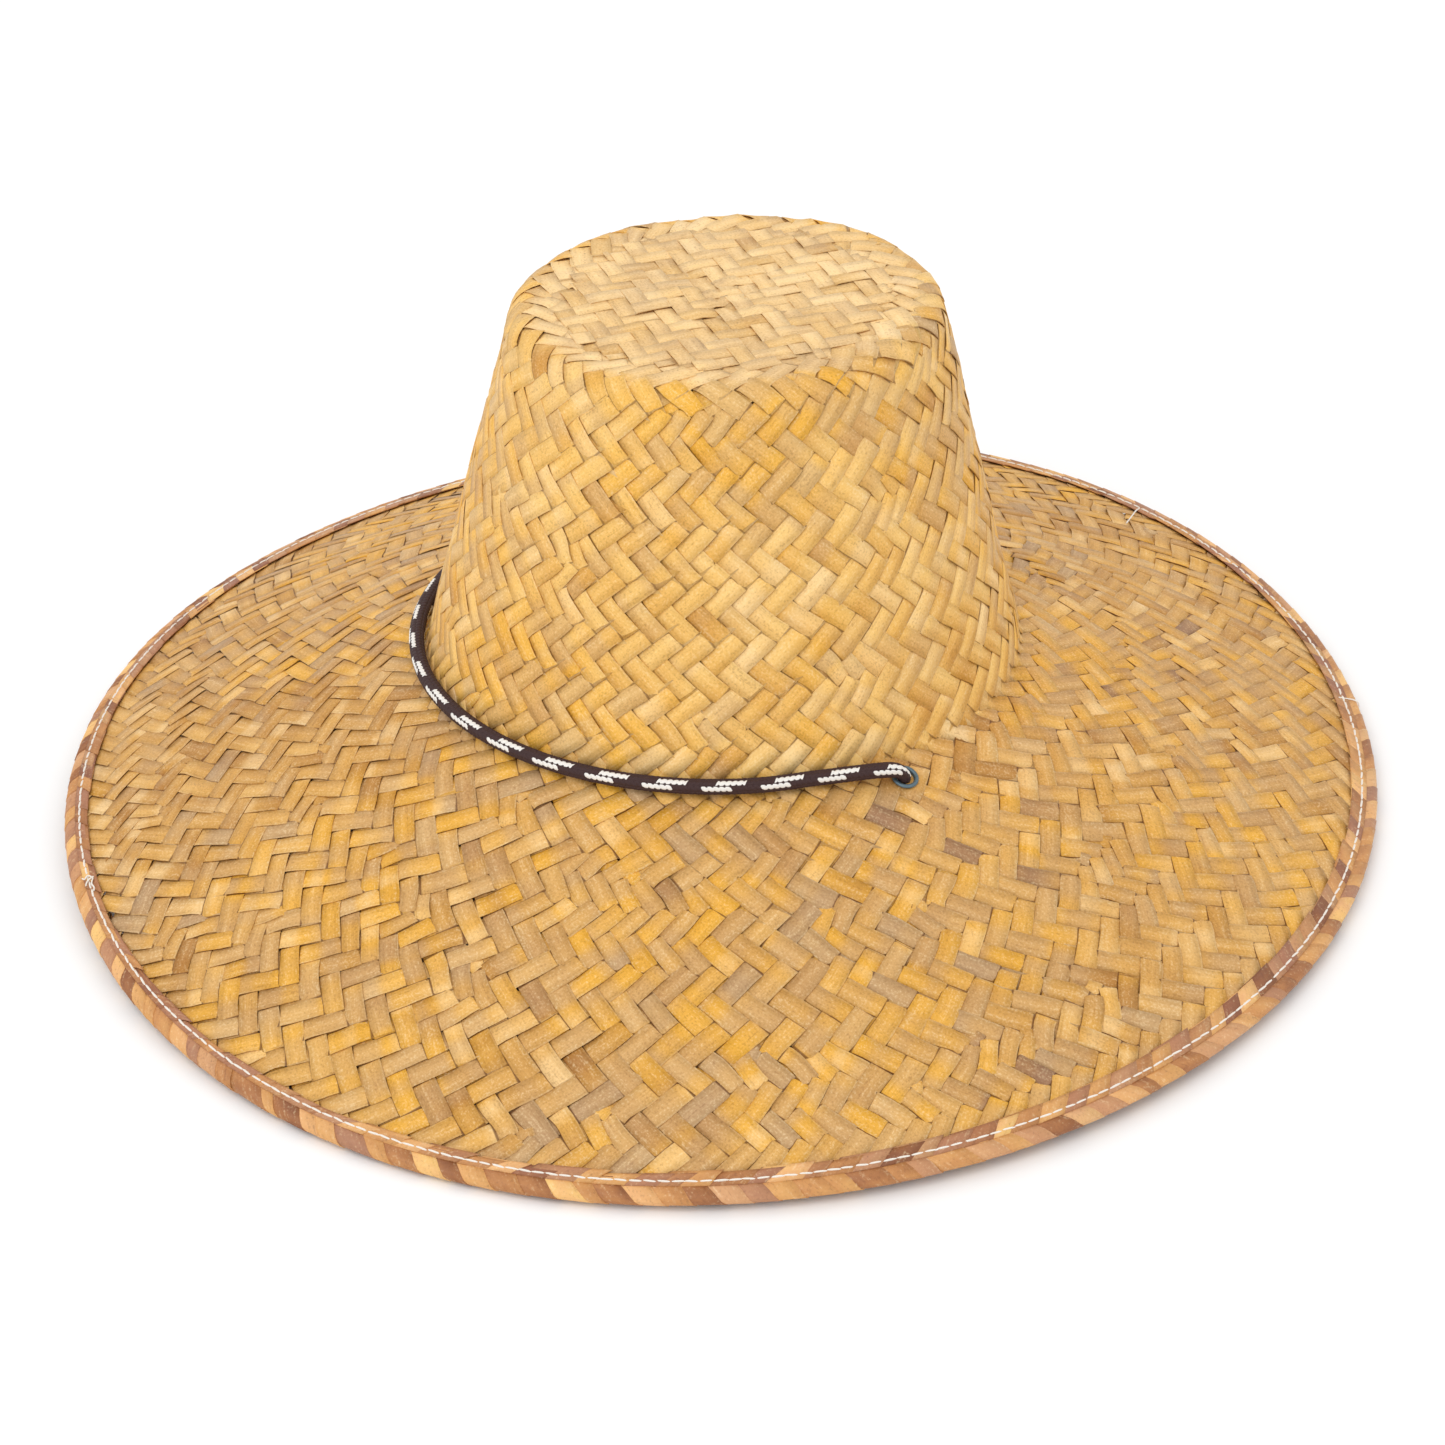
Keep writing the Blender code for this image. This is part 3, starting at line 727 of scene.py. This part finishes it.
def add_round_strip(bm, layers, strip, family):
    """One strip of the round plait, from where it is let in down to the rim."""
    rows = len(strip.angles)
    if rows < 3:
        return
    start = -1.0 if strip.first_row else -strip.early
    row = crossing_steps(strip.first_row + start, strip.first_row + rows - 1, 0.5)
    where = row - strip.first_row
    length = np.clip(PLAIT_START + row * ROW, 0.0, line_down.total)
    angle = glide(np.unwrap(strip.angles), where)
    gap = np.interp(where, np.arange(rows), strip.gaps)
    radius = line_down.at(line_down.radius, length)
    around = line_down.place(length, angle + 0.01, 0.0) - line_down.place(length, angle - 0.01, 0.0)
    gap = gap * np.linalg.norm(around, axis=1) / (0.02 * radius)
    half = gap * BAND / np.sqrt(BAND ** 2 + gap ** 2) / 2 * STRIP_FILL * strip.fill
    half = np.minimum(half, WIDEST_STRIP / 2)
    lay = lay_of(row, family)
    slack = drawn_along(row, np.arange(SLACK_ROWS), strip.dice, -1, 1)
    width = drawn_along(row, np.arange(SLACK_ROWS), strip.dice, 0.94, 1.04)
    half = half * width
    lift = STRIP_RELIEF * lay + strip.bias + 0.05 * MM * slack
    if strip.first_row:
        lift = lift - 0.9 * MM * smooth_step(0.2, -0.8, where)
    lift = lift - 0.75 * MM * smooth_step(9.0 * MM, 0.0, length - PLAIT_START)
    zone = smooth_step(-8.0 * MM, 8.0 * MM, length - foot_length())
    zone = zone - smooth_step(-66.0 * MM, -52.0 * MM, -length)
    tone = strip.tone * 0.85 + PALE_HAND[family]
    odd = strip.odd * STAINED_HAND[family] + (1.0 - STAINED_HAND[family]) / 2
    marks = {"start": strip.tone * 3.0, "lay": lay, "tone": tone, "odd": odd, "zone": zone}
    tilt = strip.tilt + 0.025 * slack + BRIM_SHINGLE * np.maximum(zone, 0.0)
    add_ribbon(bm, layers, length, angle, half, lift, tilt, marks)


def foot_length():
    away = np.abs(line_down.radius - FOOT_RADIUS) + np.abs(line_down.height - FOOT_HEIGHT)
    return line_down.length[np.argmin(away)]


def add_thickness(piece, thickness):
    solid = piece.modifiers.new("thickness", 'SOLIDIFY')
    solid.thickness = thickness
    solid.offset = 0.0
    solid.use_even_offset = False


def make_round_plait(material):
    families = plait_strips()
    for family, word in ((0, "right_hand"), (1, "left_hand")):
        bm = bmesh.new()
        layers = strip_layers(bm)
        for strip in families[family]:
            add_round_strip(bm, layers, strip, family)
        bmesh.ops.recalc_face_normals(bm, faces=bm.faces)
        piece = finish_piece(bm, "palm_strips_" + word, material, STRIP_SHARP)
        add_thickness(piece, STRIP_THICKNESS)
        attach(piece, "hat")
        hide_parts("crown_side", "brim")


def make_tip_mat(material):
    """Straight plait in the middle of the crown's tip; its ends show round the edge."""
    dice = random.Random(5)
    width = MAT_STRIP
    count = int(MAT_RADIUS / width) + 1
    bm = bmesh.new()
    layers = strip_layers(bm)
    for family in (0, 1):
        turn = MAT_TURN + (math.pi / 2 if family else 0.0)
        along = np.array([math.cos(turn), math.sin(turn)])
        aside = np.array([-along[1], along[0]]) * (-1.0 if family else 1.0)
        for i in range(-count, count):
            offset = (i + 0.5) * width + dice.uniform(-0.2, 0.2) * MM
            reach = MAT_RADIUS ** 2 - offset ** 2
            if reach < SHORTEST_HALF ** 2:
                continue
            ends = [math.sqrt(reach) + dice.uniform(-3.0, 2.0) * MM for _ in range(2)]
            middle = (i + 3.0) * width if family else i * width
            cell = crossing_steps((-ends[0] - middle) / width, (ends[1] - middle) / width, 0.0)
            place = middle + cell * width
            wave = np.tanh(CRISPNESS * np.cos(TURN * cell / 4.0))
            flat = along[None, :] * place[:, None] + aside[None, :] * offset
            radius = np.hypot(flat[:, 0], flat[:, 1])
            angle = np.arctan2(flat[:, 1], flat[:, 0])
            slack = drawn_along(place, np.linspace(-0.06, 0.06, 9), dice, -1, 1)
            lift = STRIP_RELIEF * wave + 0.06 * MM * slack + 0.10 * MM
            half = np.full(len(place), width / 2 * dice.uniform(0.98, 1.06))
            marks = {"start": dice.random() * 3.0, "lay": wave, "tone": dice.random(),
                     "odd": dice.random(), "zone": np.full(len(place), -1.0)}
            tilt = STRIP_SHINGLE + dice.uniform(-0.02, 0.02) + 0.02 * slack
            add_ribbon(bm, layers, radius, angle, half, lift, tilt, marks)
    bmesh.ops.recalc_face_normals(bm, faces=bm.faces)
    piece = finish_piece(bm, "palm_strips_tip", material, STRIP_SHARP)
    add_thickness(piece, STRIP_THICKNESS)
    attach(piece, "hat")
    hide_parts("crown_tip")


# ---------------------------------------------------------------- tubes and turned pieces

def add_tube(bm, points, radii, sides, start_side, relief=None, reach_along=1.0):
    """A closed tube of rings along points; its UV map runs round it and up to reach_along."""
    points = np.asarray(points, float)
    rings = len(points)
    ahead = unit(np.gradient(points, axis=0))
    sideways = [np.asarray(start_side, float)]
    for tangent in ahead:
        last = sideways[-1]
        sideways.append(unit(last - tangent * float(last @ tangent)))
    sideways = np.array(sideways[1:])
    upward = np.cross(ahead, sideways)
    earlier = len(bm.faces)
    made = bmesh.ops.create_grid(bm, x_segments=sides, y_segments=rings - 1, size=1.0,
                                 calc_uvs=True)
    ends = ([], [])
    for vert in made["verts"]:
        i = round((vert.co.y + 1.0) / 2.0 * (rings - 1))
        share = (vert.co.x + 1.0) / 2.0
        turn = TURN * (share % 1.0)
        reach = radii[i] + (relief(share % 1.0, i) if relief else 0.0)
        around = sideways[i] * math.cos(turn) + upward[i] * math.sin(turn)
        vert.co = points[i] + around * reach
        if i in (0, rings - 1):
            ends[i > 0].append(vert)
    if reach_along < 1.0:
        uv_map = bm.loops.layers.uv.active
        for face in list(bm.faces)[earlier:]:
            for loop in face.loops:
                loop[uv_map].uv.y *= reach_along
    for ring in ends:
        bmesh.ops.contextual_create(bm, geom=ring[:-1])
    bmesh.ops.remove_doubles(bm, verts=made["verts"], dist=1e-7)


def turned(section, steps):
    """A bmesh turned about Z from the closed section's points of radius and height."""
    bm = bmesh.new()
    verts = [bm.verts.new((radius, 0.0, height)) for radius, height in section]
    edges = [bm.edges.new(pair) for pair in zip(verts, verts[1:] + verts[:1])]
    bmesh.ops.spin(bm, geom=verts + edges, axis=(0.0, 0.0, 1.0), cent=(0.0, 0.0, 0.0),
                   steps=steps, angle=TURN, use_merge=True)
    bmesh.ops.recalc_face_normals(bm, faces=bm.faces)
    return bm


def settled(radius, height, angle):
    """Place on the settled hat of one point that is given round the upright hat's axis."""
    flat = (radius * math.cos(angle), radius * math.sin(angle), height)
    return Vector(settle(flat)[0])


def brim_spot(angle, out, lift):
    """Place on the settled brim: out along it from its edge, lift over its upper face."""
    radius, height = brim_point(out, lift)
    return settled(radius, height, angle)


# ---------------------------------------------------------------- binding and stitches

def binding_line():
    """Distance out and lift over the plait's middle, round the folded leaf's outside."""
    reach = WALL / 2 + GAP + BINDING_LEAF - TILE_THICKNESS / 2
    flat = [(-BINDING_WIDTH, 0.95 * MM), (-8.1 * MM, 1.15 * MM), (-6.9 * MM, 1.30 * MM),
            (STITCH_LINE, BINDING_PRESSED), (-4.2 * MM, 1.75 * MM)]
    fold = []
    for i in range(7):
        angle = math.pi / 2 - math.pi * i / 6
        fold.append((-BINDING_FOLD + BINDING_FOLD * math.cos(angle), reach * math.sin(angle)))
    return flat + fold + [(out, -lift) for out, lift in flat[::-1]]


def binding_edge(angle):
    """How far in the binding reaches: it is folded by eye, so it wanders."""
    return -BINDING_WIDTH + 0.9 * MM - 1.2 * MM * math.cos(2.0 * (angle - 0.2))


def add_binding_row(bm, layers, line, dice, inner):
    """One row of slanted, overlapping tiles: the inner row shows beside the stitches."""
    walked = walked_along(line)
    ahead = np.gradient(line, axis=0)
    outward = np.stack([-ahead[:, 1], ahead[:, 0]], axis=-1)
    outward = outward / np.hypot(*outward.T)[:, None]
    pitch = TURN / TILE_COUNT
    tone = 0.5
    for i in range(TILE_COUNT):
        start = (i + dice.uniform(-0.22, 0.22)) * pitch
        tone = min(1.0, max(0.0, 0.5 + (0.5 - tone) * 0.5 + dice.uniform(-0.5, 0.5)))
        odd = dice.random()
        slant = TILE_SLANT * dice.uniform(0.75, 1.25) * (-1.1 if inner else 1.0)
        wide = pitch * TILE_WIDTH + TILE_LAP / BRIM_RADIUS
        trim = dice.uniform(-0.5, 0.5) * MM
        wander = binding_edge(start) + BINDING_WIDTH
        made = bmesh.ops.create_grid(bm, x_segments=2, y_segments=len(line) - 1, size=1.0)
        for vert in made["verts"]:
            j = round((vert.co.y + 1.0) / 2.0 * (len(line) - 1))
            across = (vert.co.x + 1.0) / 2.0
            out, lift = line[j]
            if out < STITCH_LINE - 0.5 * MM:
                out += wander * (STITCH_LINE - out) / (STITCH_LINE + BINDING_WIDTH) + trim
            raised = (0.34 * (1.0 - across) - 0.20 + 0.04 * math.sin(3.1 * j + 9.0 * odd)) * MM
            raised -= 0.26 * MM if inner else 0.0
            out -= outward[j][0] * raised
            lift -= outward[j][1] * raised
            angle = start + across * wide + slant * walked[j] / BRIM_RADIUS
            vert.co = brim_spot(angle, out, lift - WALL / 2)
            vert.co.z = max(vert.co.z, TABLE_CLEARANCE)
            vert[layers[0]] = (across * 2.0 - 1.0, walked[j] + odd, 1.0)
            vert[layers[1]] = (tone, odd, 0.0 if inner else 1.0, 1.0)


def make_binding(material):
    """Two rows of slanted palm tiles folded round the brim's edge."""
    dice = random.Random(23)
    line = np.array(binding_line())
    first = int(np.argmax(line[:, 0] > STITCH_LINE - 1.6 * MM))
    shown = int(np.argmax(line[:, 0] > STITCH_LINE + 0.2 * MM)) + 1
    last = len(line) - first
    bm = bmesh.new()
    layers = strip_layers(bm)
    add_binding_row(bm, layers, line[:shown], dice, True)
    add_binding_row(bm, layers, line[first:last], dice, False)
    add_binding_row(bm, layers, line[len(line) - shown:], dice, True)
    bmesh.ops.recalc_face_normals(bm, faces=bm.faces)
    piece = finish_piece(bm, "rim_leaf_binding", material, 40.0)
    add_thickness(piece, TILE_THICKNESS)
    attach(piece, "hat")
    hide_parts("rim_binding")


def add_stitch(bm, side, start, length, bend):
    """One stitch from hole to hole: its ends dip into the leaf, its middle lies proud."""
    steps = 4
    points = []
    radii = []
    for i in range(steps + 1):
        share = i / steps
        angle = start + length * share / BRIM_RADIUS
        arch = 1.0 - (2.0 * share - 1.0) ** 4
        over = BINDING_PRESSED + TILE_THICKNESS / 2 + STITCH_RADIUS * (arch * 0.8 + 0.2)
        out = STITCH_LINE + bend * (share - 0.5)
        points.append(brim_spot(angle, out, side * over - WALL / 2))
        radii.append(STITCH_RADIUS * (0.78 + 0.22 * arch))
    add_tube(bm, points, radii, THREAD_SIDES, (0.0, 0.0, 1.0))


def make_stitches(material):
    """Lockstitch round the rim: one row of stitches on the top and one underneath."""
    dice = random.Random(31)
    pitch = TURN / STITCH_COUNT
    for side, node in ((1, "rim_thread_top"), (-1, "rim_thread_under")):
        bm = bmesh.new()
        bm.loops.layers.uv.new(UV_NAME)
        for i in range(STITCH_COUNT):
            start = (i + (0.0 if side > 0 else 0.5) + dice.uniform(-0.05, 0.05)) * pitch
            length = pitch * BRIM_RADIUS * (1.0 + dice.uniform(-0.04, 0.04))
            add_stitch(bm, side, start, length, dice.uniform(-0.15, 0.45) * MM)
        if side > 0:
            add_thread_tails(bm)
        bmesh.ops.recalc_face_normals(bm, faces=bm.faces)
        piece = finish_piece(bm, node.replace("thread", "stitches"), material)
        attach(piece, "hat")
        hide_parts(node)


def add_thread_tails(bm):
    """Loose ends of the thread: a tuft, a stitch over the edge and a tail on the brim.

    Their points are degrees round the hat, then millimetres out from the brim's edge and
    over the plait's middle.
    """
    tails = (
        [(-102.9, -7.6, 1.9), (-102.6, -6.4, 2.6), (-102.4, -5.2, 2.5), (-102.1, -4.4, 2.0)],
        [(-102.8, -7.4, 1.9), (-103.1, -6.2, 2.8), (-103.0, -4.9, 2.4), (-103.4, -4.1, 2.1)],
        [(-102.7, -7.4, 2.1), (-101.9, -6.6, 2.5), (-101.4, -6.9, 2.2), (-101.1, -6.4, 1.9)],
        [(63.8, -7.4, 1.8), (63.7, -5.0, 2.2), (63.6, -2.4, 2.6), (63.55, -0.4, 2.1),
         (63.5, 0.5, 0.2), (63.5, -0.6, -1.9), (63.45, -3.2, -2.3), (63.4, -7.0, -2.0)],
        [(101.5, -6.6, 1.8), (101.0, -11.0, 2.2), (100.0, -18.0, 2.0), (98.9, -25.5, 1.4)],
    )
    for tail in tails:
        spots = [brim_spot(math.radians(degrees), out * MM, lift * MM - WALL / 2)
                 for degrees, out, lift in tail]
        curve = smooth_curve(spots, 4)
        radii = [STITCH_RADIUS * 0.72] * len(curve)
        add_tube(bm, curve, radii, THREAD_SIDES, (0.3, 0.2, 1.0))


# ---------------------------------------------------------------- eyelets

def eyelet_frame(side):
    """Matrix of an eyelet: origin on the brim's outer surface, Z along its normal."""
    reach = (EYELET_RADIUS - BRIM_RADIUS) / math.cos(BRIM_SLOPE)

    def on_brim(out, turn):
        angle = (EYELET_BACK if side > 0 else math.pi - EYELET_BACK) + turn
        return brim_spot(angle, reach + out, 0.0)

    outward = (on_brim(MM, 0.0) - on_brim(-MM, 0.0)).normalized()
    around = (on_brim(0.0, 0.01) - on_brim(0.0, -0.01)).normalized()
    normal = outward.cross(around).normalized()
    along = normal.cross(outward)
    turn = Matrix((outward, along, normal)).transposed().to_4x4()
    return Matrix.Translation(on_brim(0.0, 0.0)) @ turn


def eyelet_section():
    """Rolled flange, barrel and lower flare of a pressed metal eyelet."""
    under = -(WALL + 3 * GAP + WASHER_THICKNESS)
    middle = (EYELET_BORE + EYELET_FLANGE) / 2
    half = (EYELET_FLANGE - EYELET_BORE) / 2
    section = []
    for i in range(9):
        angle = math.pi * i / 8
        height = GAP + (EYELET_RIM - GAP) * math.sin(angle)
        section.append((middle - half * math.cos(angle), height))
    section += [(EYELET_BARREL, GAP), (EYELET_BARREL, under)]
    flare = EYELET_FLANGE - 0.4 * MM
    section += [(flare, under), (flare + 0.1 * MM, under - 0.25 * MM)]
    section += [(flare - 0.1 * MM, under - 0.5 * MM), (EYELET_BARREL, under - 0.45 * MM)]
    return section + [(EYELET_BORE, under - 0.2 * MM)]


def washer_section():
    top = -WALL - GAP
    low = top - WASHER_THICKNESS
    bore = EYELET_BARREL + 0.15 * MM
    ease = 0.12 * MM
    return [
        (bore, top), (WASHER_OUTER - ease, top), (WASHER_OUTER, top - ease),
        (WASHER_OUTER, low + ease), (WASHER_OUTER - ease, low), (bore, low),
    ]


def make_eyelets(material):
    for word, side in (("right", 1), ("left", -1)):
        place = eyelet_frame(side)
        for node, section in (("eyelet_", eyelet_section()), ("eyelet_washer_", washer_section())):
            bm = turned(section, 48)
            bmesh.ops.transform(bm, verts=bm.verts, matrix=place)
            piece = finish_piece(bm, "metal_" + node + word, material, 35.0)
            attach(piece, "hat")
            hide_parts(node + word)


# ---------------------------------------------------------------- cord, bead and knot

def corner_run(angle):
    """Centre of the cord in the corner of crown and brim, at an angle round the hat."""
    spread = (CORD_RADIUS + 2 * GAP) / math.cos(SIDE_SLOPE + BRIM_SLOPE)
    radius = FOOT_RADIUS + spread * (math.cos(BRIM_SLOPE) - math.sin(SIDE_SLOPE))
    height = FOOT_HEIGHT + spread * (math.cos(SIDE_SLOPE) - math.sin(BRIM_SLOPE))
    return settled(radius, height, angle)


def eyelet_pass(side):
    """Cord centres through one eyelet: a tight turn over the flange, then straight down."""
    place = eyelet_frame(side)
    path = []
    for degrees, drift in ((0, 1.6), (30, 0.7), (60, 0.15), (90, 0.0)):
        angle = math.radians(degrees)
        back = EYELET_TURN * (math.sin(angle) - 1.0)
        path.append((-drift * MM, side * back, EYELET_TURN * math.cos(angle) - WALL))
    path += [(0.0, 0.0, -3.4 * MM), (0.2 * MM, side * 0.4 * MM, -8.0 * MM)]
    return [place @ Vector(point) for point in path]


def smooth_curve(route, steps):
    """Centripetal Catmull-Rom curve through the route."""
    ends = [route[0] * 2 - route[1]] + route + [route[-1] * 2 - route[-2]]
    fine = []
    for a, b, c, d in zip(ends, ends[1:], ends[2:], ends[3:]):
        t1 = (b - a).length ** 0.5
        t2 = t1 + (c - b).length ** 0.5
        t3 = t2 + (d - c).length ** 0.5
        for i in range(steps):
            t = t1 + (t2 - t1) * i / steps
            ab = a * ((t1 - t) / t1) + b * (t / t1)
            bc = b * ((t2 - t) / (t2 - t1)) + c * ((t - t1) / (t2 - t1))
            cd = c * ((t3 - t) / (t3 - t2)) + d * ((t - t2) / (t3 - t2))
            abc = ab * ((t2 - t) / t2) + bc * (t / t2)
            bcd = bc * ((t3 - t) / (t3 - t1)) + cd * ((t - t1) / (t3 - t1))
            fine.append(abc * ((t2 - t) / (t2 - t1)) + bcd * ((t - t1) / (t2 - t1)))
    return fine + [route[-1]]


def cord_route():
    """Route from the knot, up through one eyelet, round the front and back to the knot."""
    end = KNOT_CENTRE_Y + KNOT_HALF_Y + GAP
    halves = []
    for offset, loop in ((RUN_OFFSET, RIGHT_LOOP), (-RUN_OFFSET, LEFT_LOOP)):
        run = [Vector((offset, end, RUN_HEIGHT))]
        run += [Vector((offset, y * MM, RUN_HEIGHT)) for y in (-20.0, 10.0, 35.0)]
        halves.append(run + [Vector(point) * MM for point in reversed(loop)])
    front = [corner_run(math.radians(-a)) for a in range(12, 169, 12)]
    route = halves[0] + eyelet_pass(1)[::-1] + front + eyelet_pass(-1)
    return route + halves[1][::-1]


def even_line(points, step):
    points = np.array(points)
    walked = walked_along(points)
    count = int(round(walked[-1] / step))
    where = np.linspace(0.0, walked[-1], count + 1)
    return np.stack([np.interp(where, walked, column) for column in points.T], axis=-1)


def make_cord(material):
    line = even_line(smooth_curve(cord_route(), 24), RING_STEP)
    eyes = [np.array(eyelet_frame(side).translation) for side in (1, -1)]
    near = np.min([np.linalg.norm(line - eye, axis=1) for eye in eyes], axis=0)
    pinch = CORD_PINCH + (1.0 - CORD_PINCH) * smooth_step(3.0 * MM, 8.0 * MM, near)
    radii = CORD_RADIUS * pinch

    def relief(share, ring):
        column = share * BRAID_COLUMNS % 1.0 - 0.5
        hand = 1.0 if int(share * BRAID_COLUMNS) % 2 else -1.0
        phase = ring * RING_STEP / BRAID_PITCH + hand * column * 0.5
        ridge = 0.05 * math.cos(TURN * phase) + 0.07 * math.cos(TURN * column)
        return (ridge - 0.05) * MM

    bm = bmesh.new()
    bm.loops.layers.uv.new(UV_NAME)
    add_tube(bm, line, radii, CORD_SIDES, (1.0, 0.0, 0.2), relief)
    bmesh.ops.recalc_face_normals(bm, faces=bm.faces)
    cord = finish_piece(bm, "braided_chin_cord", material, 70.0)
    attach(cord, "hat")
    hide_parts("chin_cord")


def cord_share(line):
    """Share of the whole cord's length that a short piece of it has."""
    return (len(line) - 1) * RING_STEP / CORD_LENGTH


def make_knot(material):
    """Overhand knot in the two ends of the cord, drawn tight, with two short tails."""
    bm = bmesh.new()
    bm.loops.layers.uv.new(UV_NAME)
    start = KNOT_CENTRE_Y + KNOT_HALF_Y
    for side in (1, -1):
        run = [
            Vector((side * 2.8 * MM, start, RUN_HEIGHT)),
            Vector((side * 1.9 * MM, start - 2.6 * MM, RUN_HEIGHT)),
            Vector((side * 1.7 * MM, start - 6.0 * MM, RUN_HEIGHT)),
            Vector((side * 1.9 * MM, start - 9.4 * MM, RUN_HEIGHT)),
            Vector((side * 3.2 * MM, start - 13.5 * MM, RUN_HEIGHT - 1.2 * MM)),
            Vector((side * 4.6 * MM, start - 18.0 * MM, 2.8 * MM)),
        ]
        line = even_line(smooth_curve(run, 8), RING_STEP)
        share = np.linspace(0.0, 1.0, len(line))
        radii = CORD_RADIUS * (0.98 - 0.26 * np.sin(np.minimum(share / 0.75, 1.0) * math.pi))
        radii = radii * (1.0 + 0.10 * smooth_step(0.85, 1.0, share))
        add_tube(bm, line, radii, CORD_SIDES, (1.0, 0.0, 0.0), None, cord_share(line))
    wraps = []
    for i in range(WRAP_STEPS + 1):
        turn = TURN * 2.0 * i / WRAP_STEPS
        drift = (i / WRAP_STEPS - 0.5) * WRAP_SPREAD
        wraps.append(Vector((WRAP_RADII[0] * math.cos(turn), KNOT_CENTRE_Y + drift,
                             RUN_HEIGHT + WRAP_RADII[1] * math.sin(turn))))
    wraps = [Vector((1.8 * MM, wraps[0].y - 1.0 * MM, RUN_HEIGHT))] + wraps
    wraps.append(Vector((1.8 * MM, wraps[-1].y + 1.0 * MM, RUN_HEIGHT)))
    line = even_line(smooth_curve(wraps, 3), RING_STEP)
    radii = [2.05 * MM] * len(line)
    add_tube(bm, line, radii, CORD_SIDES, (0.0, 1.0, 0.0), None, cord_share(line))
    bmesh.ops.recalc_face_normals(bm, faces=bm.faces)
    knot = finish_piece(bm, "tied_cord_ends", material)
    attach(knot, "hat")
    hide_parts("cord_knot")
    return knot


def rounded_edge(radius):
    """Depth below the face and distance from the end, along an edge that is rounded over."""
    turns = [math.pi / 2 * i / 6 for i in range(7)]
    return [(radius * (1.0 - math.cos(turn)), radius * (1.0 - math.sin(turn))) for turn in turns]


def bead_section(wall):
    """Depth into the bead's wall and place along its hole, once round the wall."""
    half = SLIDER_LENGTH / 2
    outer, inner = rounded_edge(BEAD_OUTER_EDGE), rounded_edge(BEAD_HOLE_EDGE)
    section = [(depth, half - inset) for depth, inset in outer[::-1]]
    section += [(depth, inset - half) for depth, inset in outer]
    section += [(wall - depth, inset - half) for depth, inset in inner[::-1]]
    return section + [(wall - depth, half - inset) for depth, inset in inner]


def make_bead(material):
    """Flat wooden bead with one oblong hole, its edges rounded over."""
    hole = CORD_RADIUS + GAP
    wall = SLIDER_HEIGHT / 2 - hole
    section = bead_section(wall)
    bm = bmesh.new()
    made = bmesh.ops.create_grid(bm, x_segments=BEAD_STEPS, y_segments=len(section), size=1.0)
    for vert in made["verts"]:
        turn = TURN * ((vert.co.x + 1.0) / 2.0 % 1.0)
        depth, along = section[round((vert.co.y + 1.0) / 2.0 * len(section)) % len(section)]
        reach = hole + wall - depth
        outer = 1.0 - depth / wall
        spread = RUN_OFFSET + ((SLIDER_WIDTH - SLIDER_HEIGHT) / 2 - RUN_OFFSET) * outer
        shift = spread * max(-1.0, min(1.0, 2.4 * math.cos(turn)))
        vert.co = Vector((shift + reach * math.cos(turn), SLIDER_REST_Y + along,
                          RUN_HEIGHT + reach * math.sin(turn)))
    bmesh.ops.remove_doubles(bm, verts=bm.verts, dist=1e-7)
    bmesh.ops.recalc_face_normals(bm, faces=bm.faces)
    bead = finish_piece(bm, "wooden_cord_bead", material, 40.0)
    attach(bead, "slider")
    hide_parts("cord_slider")
    return bead


# ---------------------------------------------------------------- camera, light and floor

def make_camera():
    right = Vector((math.cos(CAMERA_AZIMUTH), math.sin(CAMERA_AZIMUTH), 0.0))
    back = Vector((math.sin(CAMERA_AZIMUTH) * math.cos(CAMERA_ELEVATION),
                   -math.cos(CAMERA_AZIMUTH) * math.cos(CAMERA_ELEVATION),
                   math.sin(CAMERA_ELEVATION)))
    up = back.cross(right)
    middle = Vector((0.0, 0.0, AIM_HEIGHT + LIFT))
    place = middle + back * CAMERA_DISTANCE
    aim = middle + right * CAMERA_AIM[0] + up * CAMERA_AIM[1]
    data = bpy.data.cameras.new("camera")
    data.lens = LENS
    camera = bpy.data.objects.new("camera", data)
    bpy.context.scene.collection.objects.link(camera)
    camera.location = place
    turn = (aim - place).to_track_quat('-Z', 'Y').to_matrix() @ Matrix.Rotation(CAMERA_ROLL, 3, 'Z')
    camera.rotation_euler = turn.to_euler()
    bpy.context.scene.camera = camera


def make_lamp(name, place, size, power, aim=(0.0, 0.0, 0.08)):
    data = bpy.data.lights.new(name, 'AREA')
    data.shape = 'DISK'
    data.size = size
    data.energy = power
    lamp = bpy.data.objects.new(name, data)
    lamp.location = place
    lamp.rotation_euler = (Vector(aim) - lamp.location).to_track_quat('-Z', 'Y').to_euler()
    bpy.context.scene.collection.objects.link(lamp)


def make_studio():
    world = bpy.data.worlds.new("studio")
    world.use_nodes = True
    shade = world.node_tree.nodes["Background"]
    shade.inputs["Color"].default_value = (1.0, 1.0, 1.0, 1.0)
    shade.inputs["Strength"].default_value = 1.0
    bpy.context.scene.world = world
    bpy.context.scene.view_settings.view_transform = 'Standard'
    make_lamp("key_light", (0.8, -1.2, 2.2), 1.8, 17.0)
    bm = bmesh.new()
    bmesh.ops.create_grid(bm, x_segments=2, y_segments=2, size=FLOOR_HALF)
    paper = Finish("floor_paper")
    paper.set("Base Color", (0.93, 0.93, 0.93, 1.0))
    paper.set("Roughness", 0.9)
    floor = finish_piece(bm, "floor", paper.material)


make_camera()
braid = braid_finish()
knot = make_knot(braid)
bead = make_bead(wood_finish())
make_cord(braid)
palm = palm_finish()
make_round_plait(palm)
make_tip_mat(palm)
make_binding(binding_finish())
make_stitches(thread_finish())
make_eyelets(metal_finish())
make_studio()
